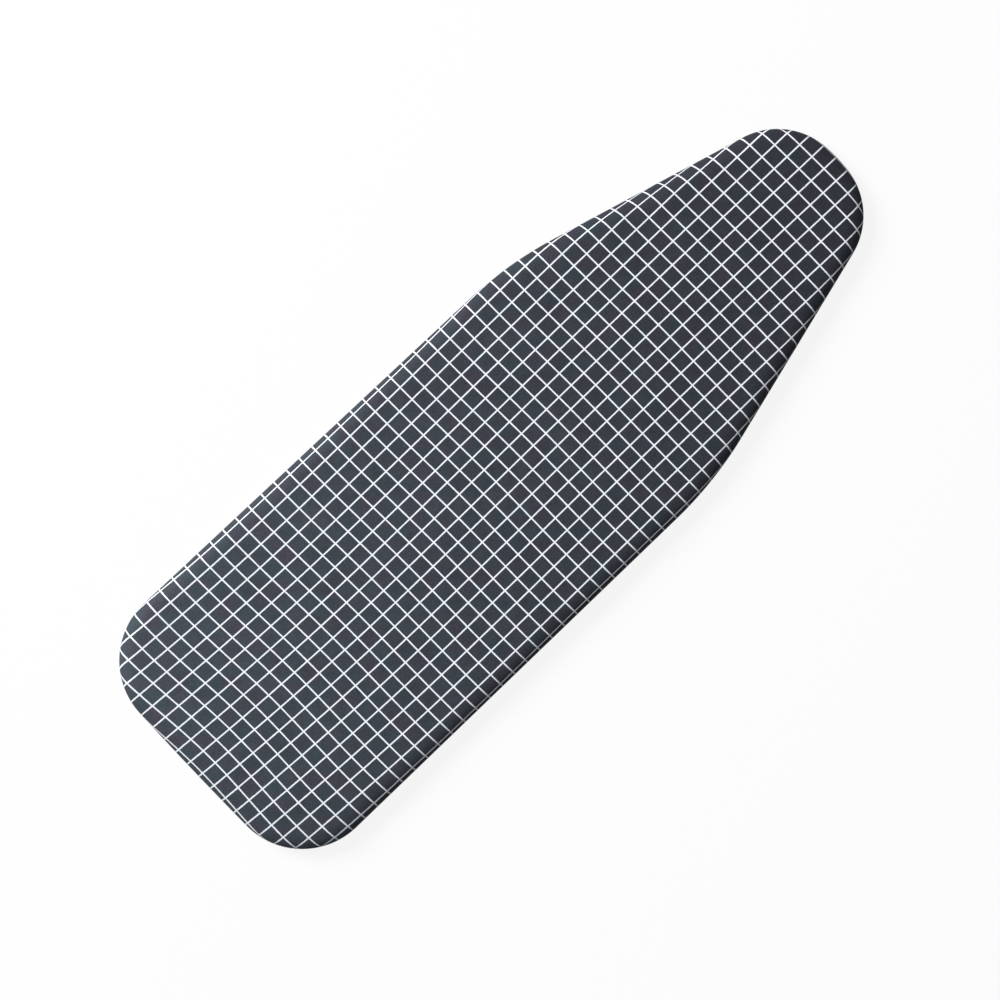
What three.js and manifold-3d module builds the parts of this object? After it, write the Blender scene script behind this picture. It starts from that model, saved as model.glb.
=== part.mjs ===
// Ironing board cover, drawn up to the shape of its board: a printed cotton cloth over a felt pad,
// with a bound hem, an elastic drawcord in the binding, and a sprung cord lock under the heel.
// Millimetres. X runs from the heel to the nose, Y across and Z up. The origin lies under the
// middle of the cover, on the surface that the hem rests on.

import * as THREE from 'three';
import { mergeVertices } from 'three/addons/utils/BufferGeometryUtils.js';
import Module from 'manifold-3d';

// Outline of the cover, seen from above
const COVER_LENGTH = 1230;
const COVER_WIDTH = 427;
const HEEL_BOW_RADIUS = 6000;
const HEEL_CORNER_RADIUS = 108;
const SIDE_TAPER = THREE.MathUtils.degToRad(0.42);
const SHOULDER_FROM_HEEL = 798;
const SHOULDER_RADIUS = 560;
const NOSE_TIP_RADIUS = 240;
const NOSE_CORNER_RADIUS = 102;
const NOSE_CORNER_SPREAD = 25;

// Edge of the cover, seen in section
const EDGE_REACH = 24;
const EDGE_DROP = 14;
const RIM_RADIUS = 6;
const TURN_UNDER = 52;
const CLOTH_THICKNESS = 0.7;
const PAD_THICKNESS = 5;
const BOARD_THICKNESS = 18;

// Hem binding and drawcord
const CORD_DIAMETER = 3;
const CORD_BEND_RADIUS = 8;
const STRAND_GAP = 0.5;
const TAPE_THICKNESS = 1.3;
const LIP_THICKNESS = 0.8;
const SEAM_WIDTH = 10;
const SEAM_DEPTH = 6;
const CORD_LEAD = 5;

// Cord lock and cord end
const LOCK_LENGTH = 12;
const LOCK_FROM_BEND = 2;
const LOCK_TRAVEL = 25;
const PLUNGER_TRAVEL = 2.5;
const BARREL_WALL = 1.3;
const BARREL_FLOOR = 1.6;
const BARREL_LIP = 1.2;
const BARREL_CORNER = 2.2;
const PLUNGER_CORNER = 0.9;
const HOLE_CORNER = 0.9;
const PLUNGER_WALL = 0.8;
const PLUNGER_FOOT = 2.8;
const BUTTON_LENGTH = 4.5;
const BUTTON_RELIEF = 0.5;
const SPRING_LENGTH = 5.6;
const SPRING_WIRE = 0.6;
const SPRING_TURNS = 3.5;
const CORD_END_LENGTH = 12;
const CORD_END_WALL = 1.6;
const CORD_END_FLOOR = 3;
const MOULDED_EDGE = 0.6;

// Gap between pieces that touch
const CLEARANCE = 0.3;

// Facets along each round stretch
const NOSE_TIP_STEPS = 2;
const NOSE_CORNER_STEPS = 7;
const SHOULDER_STEPS = 4;
const HEEL_CORNER_STEPS = 8;
const HEEL_BOW_STEPS = 2;
const EDGE_STEPS = 5;
const RIM_STEPS = 3;
const BEND_STEPS = 4;
const CORNER_STEPS = 4;
const EASING_STEPS = 2;
const TURN_STEPS = 10;
const CORD_SIDES = 8;

// Levels, from the surface that the hem rests on
const rollHalfHeight = CORD_DIAMETER / 2 + CLEARANCE + TAPE_THICKNESS;
const hemLevel = rollHalfHeight;
const lockThickness = CORD_DIAMETER + 2 * (CLEARANCE + PLUNGER_WALL + CLEARANCE + BARREL_WALL);
const lockLevel = lockThickness / 2;
const boardUnderside = lockThickness + CLEARANCE;
const rimLevel = boardUnderside - CLEARANCE - CLOTH_THICKNESS;
const padUnderside = boardUnderside + BOARD_THICKNESS + CLEARANCE;
const topLevel = padUnderside + PAD_THICKNESS + CLEARANCE + CLOTH_THICKNESS;
const edgeLevel = topLevel - EDGE_DROP;

// Places along and across
const halfLength = COVER_LENGTH / 2;
const strandOffset = (CORD_DIAMETER + STRAND_GAP) / 2;
const heelGap = 2 * (strandOffset + CORD_BEND_RADIUS + CORD_LEAD);
const hemAtHeel = -halfLength + TURN_UNDER;
const strandStart = hemAtHeel + CORD_BEND_RADIUS;
const lockCentre = strandStart + LOCK_FROM_BEND + LOCK_LENGTH / 2;
const cordEndStart = lockCentre + LOCK_LENGTH / 2 + LOCK_TRAVEL + CLEARANCE;
const strandEnd = cordEndStart + CORD_END_LENGTH - CORD_END_FLOOR - CLEARANCE;

const wasm = await Module();
wasm.setup();

// Outline: tangent arcs from the nose to the heel along one side, mirrored for the other

function direction(angle) {
  return new THREE.Vector2(Math.cos(angle), Math.sin(angle));
}

function arc(centre, radius, from, to, steps) {
  return { centre, radius, from, to, steps };
}

function sideArcs() {
  const tip = new THREE.Vector2(halfLength - NOSE_TIP_RADIUS, 0);
  const noseY = NOSE_CORNER_SPREAD / 2;
  const noseReach = Math.sqrt((NOSE_TIP_RADIUS - NOSE_CORNER_RADIUS) ** 2 - noseY ** 2);
  const nose = new THREE.Vector2(tip.x + noseReach, noseY);

  const bow = new THREE.Vector2(HEEL_BOW_RADIUS - halfLength, 0);
  const heelY = COVER_WIDTH / 2 - HEEL_CORNER_RADIUS;
  const heelReach = Math.sqrt((HEEL_BOW_RADIUS - HEEL_CORNER_RADIUS) ** 2 - heelY ** 2);
  const heel = new THREE.Vector2(bow.x - heelReach, heelY);

  // The side line touches the heel corner, and the taper line runs from the bend to the nose corner
  const sideAngle = Math.PI / 2 - SIDE_TAPER;
  const sideNormal = direction(sideAngle);
  const touch = heel.clone().addScaledVector(sideNormal, HEEL_CORNER_RADIUS);
  const bendX = SHOULDER_FROM_HEEL - halfLength;
  const bend = new THREE.Vector2(bendX, touch.y - (bendX - touch.x) * Math.tan(SIDE_TAPER));
  const toNose = nose.clone().sub(bend);
  const taperAngle = toNose.angle() - 2 * Math.PI + Math.asin(NOSE_CORNER_RADIUS / toNose.length());
  const noseAngle = taperAngle + Math.PI / 2;
  const noseNormal = direction(noseAngle);
  const inwards = sideNormal.clone().add(noseNormal).divideScalar(1 + sideNormal.dot(noseNormal));
  const shoulder = bend.clone().addScaledVector(inwards, -SHOULDER_RADIUS);

  const tipAngle = nose.clone().sub(tip).angle();
  const bowAngle = heel.clone().sub(bow).angle();
  return {
    tip: arc(tip, NOSE_TIP_RADIUS, 0, tipAngle, NOSE_TIP_STEPS),
    nose: arc(nose, NOSE_CORNER_RADIUS, tipAngle, noseAngle, NOSE_CORNER_STEPS),
    shoulder: arc(shoulder, SHOULDER_RADIUS, noseAngle, sideAngle, SHOULDER_STEPS),
    heel: arc(heel, HEEL_CORNER_RADIUS, sideAngle, bowAngle, HEEL_CORNER_STEPS),
    bow: arc(bow, HEEL_BOW_RADIUS, bowAngle, Math.PI, HEEL_BOW_STEPS),
  };
}

function arcStations({ centre, radius, from, to, steps }) {
  return Array.from({ length: steps + 1 }, (_, i) => ({
    centre,
    radius,
    angle: THREE.MathUtils.lerp(from, to, i / steps),
  }));
}

// Stations along one side, ending short of the heel's middle by half of the gap. The nose corner and
// the heel's bow start where the arc before them ends, so they leave out their first station.
function sideStations(gap) {
  const { tip, nose, shoulder, heel, bow } = sideArcs();
  const bowEnd = Math.PI - Math.asin(gap / 2 / (HEEL_BOW_RADIUS - TURN_UNDER));
  return [
    ...arcStations(tip),
    ...arcStations(nose).slice(1),
    ...arcStations(shoulder),
    ...arcStations(heel),
    ...arcStations({ ...bow, to: bowEnd }).slice(1),
  ];
}

function mirrored({ centre, radius, angle }) {
  return { centre: new THREE.Vector2(centre.x, -centre.y), radius, angle: -angle };
}

// All round the cover, against the clock from the nose
function closedStations() {
  const side = sideStations(0);
  const otherSide = side.slice(1, -1).map(mirrored).reverse();
  return [...side, ...otherSide];
}

// Round the nose from one edge of the gap at the heel to the other
function hemStations() {
  const side = sideStations(heelGap);
  const otherSide = side.slice(1).map(mirrored).reverse();
  return [...otherSide, ...side];
}

function placeAt({ centre, radius, angle }, inset, z) {
  const place = centre.clone().addScaledVector(direction(angle), radius - inset);
  return new THREE.Vector3(place.x, place.y, z);
}

function frameAt(station, inset, z) {
  return { origin: placeAt(station, inset, z), side: direction(station.angle) };
}

// Solids built ring by ring

function geometryOf(points, faces) {
  const geometry = new THREE.BufferGeometry().setFromPoints(points);
  geometry.setIndex(faces.flat());
  geometry.computeVertexNormals();
  return geometry;
}

// Triangles that fill a flat outline, against the clock
function fill(contour, holes = []) {
  const all = [contour, ...holes].flat();
  return THREE.ShapeUtils.triangulateShape(contour, holes).map(([a, b, c]) => {
    const turnsLeft = THREE.ShapeUtils.area([all[a], all[b], all[c]]) > 0;
    return turnsLeft ? [a, b, c] : [a, c, b];
  });
}

function backwards([a, b, c]) {
  return [a, c, b];
}

function strip(first, second, count, start = 0) {
  return Array.from({ length: count }, (_, i) => {
    const here = start + i;
    const next = start + ((i + 1) % count);
    return [
      [first + here, second + here, second + next],
      [first + here, second + next, first + next],
    ];
  }).flat();
}

// A closed skin through rings given as inset and level, with its first and last ring filled
function loft(stations, section) {
  const count = stations.length;
  const points = section.flatMap(({ inset, z }) => stations.map((station) => placeAt(station, inset, z)));
  const last = (section.length - 1) * count;
  const firstCap = fill(points.slice(0, count).map(({ x, y }) => new THREE.Vector2(x, y)));
  const lastCap = fill(points.slice(last).map(({ x, y }) => new THREE.Vector2(x, y)));
  const walls = section.slice(1).flatMap((_, ring) => strip(ring * count, (ring + 1) * count, count));
  const closing = lastCap.map((face) => backwards(face).map((index) => index + last));
  return geometryOf(points, [...firstCap, ...walls, ...closing]);
}

// A section carried along frames, X of the section to the frame's side and Y of it up, with closed ends
function sweep(frames, contour, hole = []) {
  const section = [...contour, ...hole];
  const count = section.length;
  const points = frames.flatMap(({ origin, side }) => section.map(({ x, y }) => new THREE.Vector3(
    origin.x + side.x * x,
    origin.y + side.y * x,
    origin.z + y,
  )));
  const last = (frames.length - 1) * count;
  const startCap = fill(contour, hole.length ? [hole] : []);
  const walls = frames.slice(1).flatMap((_, i) => [
    ...strip(i * count, (i + 1) * count, contour.length),
    ...strip(i * count, (i + 1) * count, hole.length, contour.length),
  ]);
  const endCap = startCap.map((face) => backwards(face).map((index) => index + last));
  return geometryOf(points, [...startCap, ...walls, ...endCap]);
}

// A regular section with flats at its top and bottom, against the clock
function ringSection(cornerRadius) {
  const turn = (2 * Math.PI) / CORD_SIDES;
  const angles = Array.from({ length: CORD_SIDES }, (_, i) => turn * (i + 0.5));
  return angles.map((angle) => direction(angle).multiplyScalar(cornerRadius));
}

function cornerRadiusFor(flatRadius) {
  return flatRadius / Math.cos(Math.PI / CORD_SIDES);
}

// A quarter of an ellipse in section, from the flat top out and down to the upright side
function edgeSection(depth) {
  return Array.from({ length: EDGE_STEPS + 1 }, (_, i) => {
    const angle = (i / EDGE_STEPS) * (Math.PI / 2);
    return {
      inset: EDGE_REACH - (EDGE_REACH - depth) * Math.sin(angle),
      z: edgeLevel + (EDGE_DROP - depth) * Math.cos(angle),
    };
  });
}

// The lower edge in section, from the upright side down and under
function rimSection(depth) {
  return Array.from({ length: RIM_STEPS + 1 }, (_, i) => {
    const angle = (i / RIM_STEPS) * (Math.PI / 2);
    return {
      inset: RIM_RADIUS - (RIM_RADIUS - depth) * Math.cos(angle),
      z: rimLevel + RIM_RADIUS - (RIM_RADIUS - depth) * Math.sin(angle),
    };
  });
}

// Solids cut and joined

function solidOf(geometry) {
  const bare = geometry.clone();
  bare.deleteAttribute('normal');
  bare.deleteAttribute('uv');
  const merged = mergeVertices(bare);
  const vertProperties = new Float32Array(merged.attributes.position.array);
  const triVerts = new Uint32Array(merged.index.array);
  return new wasm.Manifold(new wasm.Mesh({ numProp: 3, vertProperties, triVerts }));
}

function geometryFrom(solid) {
  const { vertProperties, triVerts } = solid.getMesh();
  const geometry = new THREE.BufferGeometry();
  geometry.setAttribute('position', new THREE.BufferAttribute(vertProperties, 3));
  geometry.setIndex(new THREE.BufferAttribute(triVerts, 1));
  geometry.computeVertexNormals();
  return geometry;
}

function oblong(width, height, corner) {
  const x = width / 2 - corner;
  const y = height / 2 - corner;
  const shape = new THREE.Shape();
  shape.absarc(x, y, corner, 0, Math.PI / 2);
  shape.absarc(-x, y, corner, Math.PI / 2, Math.PI);
  shape.absarc(-x, -y, corner, Math.PI, (3 * Math.PI) / 2);
  shape.absarc(x, -y, corner, (3 * Math.PI) / 2, 2 * Math.PI);
  return shape;
}

// An extruded bar between two places on its axis, with its end edges eased by the given size
function bar(shape, from, to, easing) {
  const geometry = new THREE.ExtrudeGeometry(shape, {
    depth: to - from - 2 * easing,
    curveSegments: CORNER_STEPS,
    bevelEnabled: easing > 0,
    bevelThickness: easing,
    bevelSize: easing,
    bevelOffset: -easing,
    bevelSegments: EASING_STEPS,
  });
  return geometry.translate(0, 0, from + easing);
}

// The same bar along Y, with the section's X along X and its Y along Z
function barAlongY(shape, from, to, easing = 0) {
  return bar(shape, -to, -from, easing).rotateX(Math.PI / 2);
}

// The same bar along X, with the section's X along Y and its Y along Z
function barAlongX(shape, from, to, easing = 0) {
  return bar(shape, from, to, easing).rotateX(Math.PI / 2).rotateZ(Math.PI / 2);
}

class Helix extends THREE.Curve {
  constructor(radius, from, to, turns) {
    super();
    Object.assign(this, { radius, from, to, turns });
  }

  getPoint(t, target = new THREE.Vector3()) {
    const angle = 2 * Math.PI * this.turns * t;
    const along = THREE.MathUtils.lerp(this.from, this.to, t);
    return target.set(this.radius * Math.cos(angle), along, this.radius * Math.sin(angle));
  }
}

// Finishes

function finish(color, roughness, metalness = 0) {
  return new THREE.MeshStandardMaterial({ color, roughness, metalness });
}

function piece(name, geometry, material) {
  const mesh = new THREE.Mesh(geometry, material);
  mesh.name = name;
  return mesh;
}

// Cover cloth: top, rounded edge, side and the part turned under, which ends in the binding's seam

function coverCloth() {
  const seamStart = TURN_UNDER - SEAM_WIDTH;
  const edge = seamStart + SEAM_DEPTH - CLEARANCE;
  const lower = hemLevel - CLOTH_THICKNESS / 2;
  const upper = hemLevel + CLOTH_THICKNESS / 2;
  const beforeSeam = seamStart - SEAM_DEPTH;
  const section = [
    ...edgeSection(0),
    ...rimSection(0),
    { inset: beforeSeam, z: lower },
    { inset: edge, z: lower },
    { inset: edge, z: upper },
    { inset: beforeSeam, z: upper },
    ...rimSection(CLOTH_THICKNESS).reverse(),
    ...edgeSection(CLOTH_THICKNESS).reverse(),
  ];
  return piece('cover_cloth', loft(closedStations(), section), finish(0x454b53, 0.9));
}

// Felt pad: flat under the top, with its margin bent down over the board's edge

function feltPad() {
  const outside = CLOTH_THICKNESS + CLEARANCE;
  const section = [
    ...edgeSection(outside),
    ...edgeSection(outside + PAD_THICKNESS).reverse(),
  ];
  return piece('felt_pad', loft(closedStations(), section), finish(0xe8e5de, 1));
}

// Hem binding: a rolled tunnel round the cord, and two lips that take the cloth's edge between them

function hemBinding() {
  const roll = ringSection(cornerRadiusFor(rollHalfHeight));
  const tunnel = ringSection(cornerRadiusFor(CORD_DIAMETER / 2 + CLEARANCE)).reverse();
  const slot = CLOTH_THICKNESS / 2 + CLEARANCE;
  const lip = slot + LIP_THICKNESS;
  const slotEnd = SEAM_WIDTH - SEAM_DEPTH;
  const contour = [
    ...roll,
    new THREE.Vector2(SEAM_WIDTH, -lip),
    new THREE.Vector2(SEAM_WIDTH, -slot),
    new THREE.Vector2(slotEnd, -slot),
    new THREE.Vector2(slotEnd, slot),
    new THREE.Vector2(SEAM_WIDTH, slot),
    new THREE.Vector2(SEAM_WIDTH, lip),
  ];
  const frames = hemStations().map((station) => frameAt(station, TURN_UNDER, hemLevel));
  return piece('hem_binding', sweep(frames, contour, tunnel), finish(0x33373d, 0.85));
}

// Drawcord: through the binding, round a bend at each side of the gap, through the lock to the cord end

function bendFrames(sign) {
  const centre = new THREE.Vector2(strandStart, sign * (strandOffset + CORD_BEND_RADIUS));
  const from = sign < 0 ? Math.PI / 2 : Math.PI;
  const bend = arc(centre, CORD_BEND_RADIUS, from, from + Math.PI / 2, BEND_STEPS);
  return arcStations(bend).map((station, i) => {
    const done = i / BEND_STEPS;
    const rise = sign < 0 ? 1 - done : done;
    return frameAt(station, 0, THREE.MathUtils.lerp(hemLevel, lockLevel, rise));
  });
}

function strandEndFrame(sign) {
  return {
    origin: new THREE.Vector3(strandEnd, sign * strandOffset, lockLevel),
    side: new THREE.Vector2(0, -sign),
  };
}

function drawcord() {
  const frames = [
    strandEndFrame(-1),
    ...bendFrames(-1),
    ...hemStations().map((station) => frameAt(station, TURN_UNDER, hemLevel)),
    ...bendFrames(1),
    strandEndFrame(1),
  ];
  return piece('drawcord', sweep(frames, ringSection(CORD_DIAMETER / 2)), finish(0x26282b, 0.8));
}

// Cord lock: the strands cross the barrel and the plunger along X, and the plunger runs along Y

const strandsHalfWidth = strandOffset + CORD_DIAMETER / 2 + CLEARANCE;
const holeHeight = CORD_DIAMETER + 2 * CLEARANCE;
const holeWidth = 2 * strandsHalfWidth + PLUNGER_TRAVEL;
const plungerThickness = holeHeight + 2 * PLUNGER_WALL;
const cavityThickness = plungerThickness + 2 * CLEARANCE;
const cavityWidth = LOCK_LENGTH - 2 * BARREL_WALL;
const plungerWidth = cavityWidth - 2 * CLEARANCE;
const footEnd = -strandsHalfWidth - PLUNGER_FOOT;
const cavityFloor = footEnd - CLEARANCE - SPRING_LENGTH - CLEARANCE;
const barrelMouth = strandsHalfWidth + PLUNGER_TRAVEL + BARREL_LIP;
const buttonStart = barrelMouth + PLUNGER_TRAVEL + CLEARANCE;

// The hole that the strands pass, moved along the plunger's run so that at rest the two pieces nip them
function strandHole(shift) {
  const hole = barAlongX(oblong(holeWidth, holeHeight, HOLE_CORNER), -LOCK_LENGTH, LOCK_LENGTH);
  return solidOf(hole.translate(0, shift, 0));
}

function lockBarrel(material) {
  const shell = barAlongY(
    oblong(LOCK_LENGTH, lockThickness, BARREL_CORNER),
    cavityFloor - BARREL_FLOOR,
    barrelMouth,
    MOULDED_EDGE,
  );
  const cavity = barAlongY(
    oblong(cavityWidth, cavityThickness, PLUNGER_CORNER),
    cavityFloor,
    barrelMouth + BARREL_LIP,
  );
  const barrel = solidOf(shell).subtract(solidOf(cavity)).subtract(strandHole(-PLUNGER_TRAVEL / 2));
  return piece('lock_barrel', geometryFrom(barrel), material);
}

function lockPlunger(material) {
  const stem = barAlongY(
    oblong(plungerWidth, plungerThickness, PLUNGER_CORNER),
    footEnd,
    buttonStart + BUTTON_LENGTH / 2,
  );
  const button = barAlongY(
    oblong(LOCK_LENGTH - 2 * BUTTON_RELIEF, lockThickness - 2 * BUTTON_RELIEF, BARREL_CORNER),
    buttonStart,
    buttonStart + BUTTON_LENGTH,
    MOULDED_EDGE,
  );
  const plunger = solidOf(stem).add(solidOf(button)).subtract(strandHole(PLUNGER_TRAVEL / 2));
  return piece('lock_plunger', geometryFrom(plunger), material);
}

function lockSpring() {
  const halfWire = SPRING_WIRE / 2;
  const radius = plungerThickness / 2 - halfWire;
  const upperEnd = footEnd - CLEARANCE - halfWire;
  const lowerEnd = cavityFloor + CLEARANCE + halfWire;
  const helix = new Helix(radius, upperEnd, lowerEnd, SPRING_TURNS);
  const wire = new THREE.Shape(ringSection(halfWire));
  const steps = Math.round(SPRING_TURNS * TURN_STEPS);
  const coil = new THREE.ExtrudeGeometry(wire, { steps, extrudePath: helix, bevelEnabled: false });
  return piece('lock_spring', coil, finish(0xb9bdc2, 0.3, 1));
}

// Cord end: a moulded block with one blind hole that takes both strands

function cordEnd(material) {
  const block = barAlongX(
    oblong(2 * (strandsHalfWidth + CORD_END_WALL), lockThickness, BARREL_CORNER),
    cordEndStart,
    cordEndStart + CORD_END_LENGTH,
    MOULDED_EDGE,
  );
  const hole = barAlongX(
    oblong(2 * strandsHalfWidth, holeHeight, HOLE_CORNER),
    cordEndStart - CLEARANCE,
    cordEndStart + CORD_END_LENGTH - CORD_END_FLOOR,
  );
  const end = piece('cord_end', geometryFrom(solidOf(block).subtract(solidOf(hole))), material);
  end.position.z = lockLevel;
  return end;
}

const lockPlastic = finish(0x202225, 0.45);

const lock = new THREE.Group();
lock.position.set(lockCentre, 0, lockLevel);
lock.add(lockBarrel(lockPlastic.clone()), lockPlunger(lockPlastic.clone()), lockSpring());

const cover = new THREE.Group();
cover.add(coverCloth(), feltPad(), hemBinding(), drawcord(), lock, cordEnd(lockPlastic.clone()));

export default cover;
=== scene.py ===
import math

import bmesh
import bpy
import numpy as np
from bpy.props import FloatProperty, FloatVectorProperty, IntProperty, PointerProperty
from mathutils import Color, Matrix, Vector, geometry


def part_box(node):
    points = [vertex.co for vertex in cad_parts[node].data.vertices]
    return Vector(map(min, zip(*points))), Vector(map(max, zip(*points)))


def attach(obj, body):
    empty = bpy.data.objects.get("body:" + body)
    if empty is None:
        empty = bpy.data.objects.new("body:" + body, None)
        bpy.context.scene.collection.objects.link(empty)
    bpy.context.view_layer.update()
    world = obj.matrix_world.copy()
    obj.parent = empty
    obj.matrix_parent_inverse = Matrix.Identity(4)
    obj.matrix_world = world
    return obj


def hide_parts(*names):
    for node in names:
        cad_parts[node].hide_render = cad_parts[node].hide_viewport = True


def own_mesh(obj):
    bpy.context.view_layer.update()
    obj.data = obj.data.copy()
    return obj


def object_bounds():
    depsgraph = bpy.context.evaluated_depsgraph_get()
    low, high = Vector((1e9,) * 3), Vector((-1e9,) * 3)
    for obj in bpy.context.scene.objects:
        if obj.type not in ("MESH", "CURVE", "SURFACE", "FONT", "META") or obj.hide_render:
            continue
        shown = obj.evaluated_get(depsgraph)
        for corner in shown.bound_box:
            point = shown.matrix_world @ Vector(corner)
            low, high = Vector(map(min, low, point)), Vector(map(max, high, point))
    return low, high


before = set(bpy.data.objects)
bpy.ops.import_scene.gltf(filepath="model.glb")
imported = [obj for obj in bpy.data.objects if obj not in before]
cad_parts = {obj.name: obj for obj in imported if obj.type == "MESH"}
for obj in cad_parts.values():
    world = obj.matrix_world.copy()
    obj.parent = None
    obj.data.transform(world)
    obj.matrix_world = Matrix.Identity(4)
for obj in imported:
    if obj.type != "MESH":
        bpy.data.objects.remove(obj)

bl_info = {
    "name": "Ironing Board Cover",
    "version": (1, 0, 0),
    "blender": (4, 5, 0),
    "location": "View3D > Sidebar > Board Cover",
    "description": "Dresses the solid parts of a fitted ironing board cover in cloth, felt, cord and plastic",
    "category": "Object",
}

CAD_LOW, CAD_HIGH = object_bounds()
BARREL_LOW, BARREL_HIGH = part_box("lock_barrel")
PLUNGER_LOW, PLUNGER_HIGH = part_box("lock_plunger")
SPRING_LOW, SPRING_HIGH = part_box("lock_spring")
CORD_END_LOW, CORD_END_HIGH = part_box("cord_end")
MM = 0.001
TOUCHING, SAME_POINT = 1e-6, 1e-7
X, Y = 0, 1
WHITE = (1.0, 1.0, 1.0, 1.0)


def painted(red, green, blue):
    """A colour given from 0 to 255 as the eye sees it, as the shader's own values, by the sRGB curve."""
    shares = (value / 255 for value in (red, green, blue))
    return tuple(s / 12.92 if s <= 0.04045 else ((s + 0.055) / 1.055) ** 2.4 for s in shares)


def length_of(name, description, default):
    return FloatProperty(
        name=name, description=description, default=default, min=0.0, unit="LENGTH", precision=4
    )


def pull_of(name, description, millimetres):
    return FloatProperty(
        name=name, description=description, default=millimetres * MM, unit="LENGTH", precision=4
    )


def pulls_of(name, description, *millimetres):
    return FloatVectorProperty(
        name=name,
        description=description,
        default=[size * MM for size in millimetres],
        size=len(millimetres),
        unit="LENGTH",
    )


def angle_of(name, description, degrees):
    return FloatProperty(
        name=name, description=description, default=math.radians(degrees), unit="ROTATION"
    )


def power_of(name, description, watts):
    return FloatProperty(name=name, description=description, default=watts, min=0.0, unit="POWER")


def colour_of(name, description, default):
    return FloatVectorProperty(
        name=name, description=description, default=default, size=3, min=0.0, max=1.0, subtype="COLOR"
    )


class CoverShape(bpy.types.PropertyGroup):
    """Outline and section of the cover."""

    length: length_of("Length", "Heel to nose, drawn up on the board", CAD_HIGH.x - CAD_LOW.x)
    width: length_of("Width", "Across the widest part of the heel", CAD_HIGH.y - CAD_LOW.y)
    height: length_of("Height", "From the hem's rest to the ironing face", CAD_HIGH.z - CAD_LOW.z)
    heel_bow: length_of("Heel bow", "Radius of the heel's slight bow", 6.0)
    heel_corner: length_of("Heel corner", "Radius of the heel's corners", 0.108)
    side_taper: angle_of("Side taper", "Turn of each side towards the nose", 0.42)
    shoulder_from_heel: length_of("Shoulder place", "From the heel to the bend of the side", 0.798)
    shoulder: length_of("Shoulder", "Radius of the bend from the side to the nose", 0.560)
    nose_tip: length_of("Nose tip", "Radius of the nose's front", 0.240)
    nose_corner: length_of("Nose corner", "Radius at each side of the nose's front", 0.102)
    nose_spread: length_of("Nose spread", "Between the centres of the nose corners", 0.025)
    edge_reach: length_of("Edge reach", "How far in the rounded upper edge starts", 0.024)
    edge_drop: length_of("Edge drop", "Height of the rounded upper edge", 0.014)
    rim: length_of("Rim", "Radius of the lower edge", 0.006)
    rim_level: length_of("Rim level", "Height of the turned-under cloth at the rim", 0.0077)
    turn_under: length_of("Turn-under", "From the outer edge to the drawcord", 0.052)
    cloth: length_of("Cloth", "Thickness of the cotton", 0.0006)
    felt: length_of("Felt", "Thickness of the felt pad", 0.005)
    felt_gap: length_of("Felt gap", "From the cover's outer face to the felt", 0.001)
    relief: length_of("Relief", "How far the ironing face is from dead flat", 0.0002)


class HemShape(bpy.types.PropertyGroup):
    """Binding, drawcord, gathers and stitches of the hem."""

    cord: length_of("Cord", "Diameter of the elastic drawcord", 0.003)
    cord_level: length_of("Cord level", "Height of the drawcord's centre", 0.0031)
    cord_bend: length_of("Cord bend", "Radius where the cord leaves the binding", 0.008)
    cord_lead: length_of("Cord lead", "Bare cord between the binding and its bend", 0.005)
    strand_gap: length_of("Strand gap", "Between the two strands at the lock", 0.0005)
    tunnel: length_of("Tunnel", "Radius of the binding's tunnel", 0.0018)
    roll: length_of("Roll", "Outer radius of the binding round the cord", 0.0031)
    seam_width: length_of("Seam width", "From the cord to the edge of the binding's lips", 0.010)
    slot: length_of("Slot", "Half of the gap between the lips", 0.00058)
    lip: length_of("Lip", "From the seam's middle to a lip's outer face", 0.00145)
    cloth_end: length_of("Cloth end", "From the cord to the cloth's raw edge", 0.0043)
    corner_fold: length_of("Corner folds", "Spacing of the gathers round the corners", 0.0088)
    side_fold: length_of("Side folds", "Spacing of the gathers along the sides", 0.0165)
    corner_depth: length_of("Corner depth", "Depth of the gathers round the corners", 0.0030)
    side_depth: length_of("Side depth", "Depth of the gathers along the sides", 0.0012)
    thread: length_of("Thread", "Diameter of the sewing thread", 0.00045)
    stitch: length_of("Stitch", "Length of one stitch", 0.003)
    seam_line: length_of("Seam line", "From the cord to the row of stitches", 0.0083)
    tack_threads: IntProperty(name="Tack threads", description="Threads in each bar tack", default=11, min=3)


class LockShape(bpy.types.PropertyGroup):
    """Cord lock and cord end."""

    corner: length_of("Corner", "Radius of the moulded corners", 0.0022)
    ease: length_of("Ease", "Rounding of the moulded ends", 0.0006)
    wall: length_of("Wall", "Wall of the barrel", 0.0013)
    floor: length_of("Floor", "Floor of the barrel", 0.0016)
    stem_width: length_of("Stem width", "Width of the plunger's stem", 0.0088)
    stem_thickness: length_of("Stem thickness", "Thickness of the plunger's stem", 0.0052)
    hole_width: length_of("Hole width", "Width of the hole for both strands", 0.0096)
    hole_height: length_of("Hole height", "Height of the hole for both strands", 0.0036)
    hole_corner: length_of("Hole corner", "Corner radius of that hole", 0.0009)
    travel: length_of("Travel", "How far the plunger is pressed", 0.0025)
    button: length_of("Button", "Length of the plunger's button", 0.0045)
    groove: length_of("Groove", "Radius of the grip grooves", 0.0007)
    groove_depth: length_of("Groove depth", "Depth of the grip grooves", 0.00045)
    wire: length_of("Wire", "Diameter of the spring's wire", 0.0006)
    turns: FloatProperty(name="Turns", description="Turns of the spring", default=3.5, min=1.0)
    end_floor: length_of("End floor", "Solid length of the cord end behind the strands", 0.003)


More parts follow.
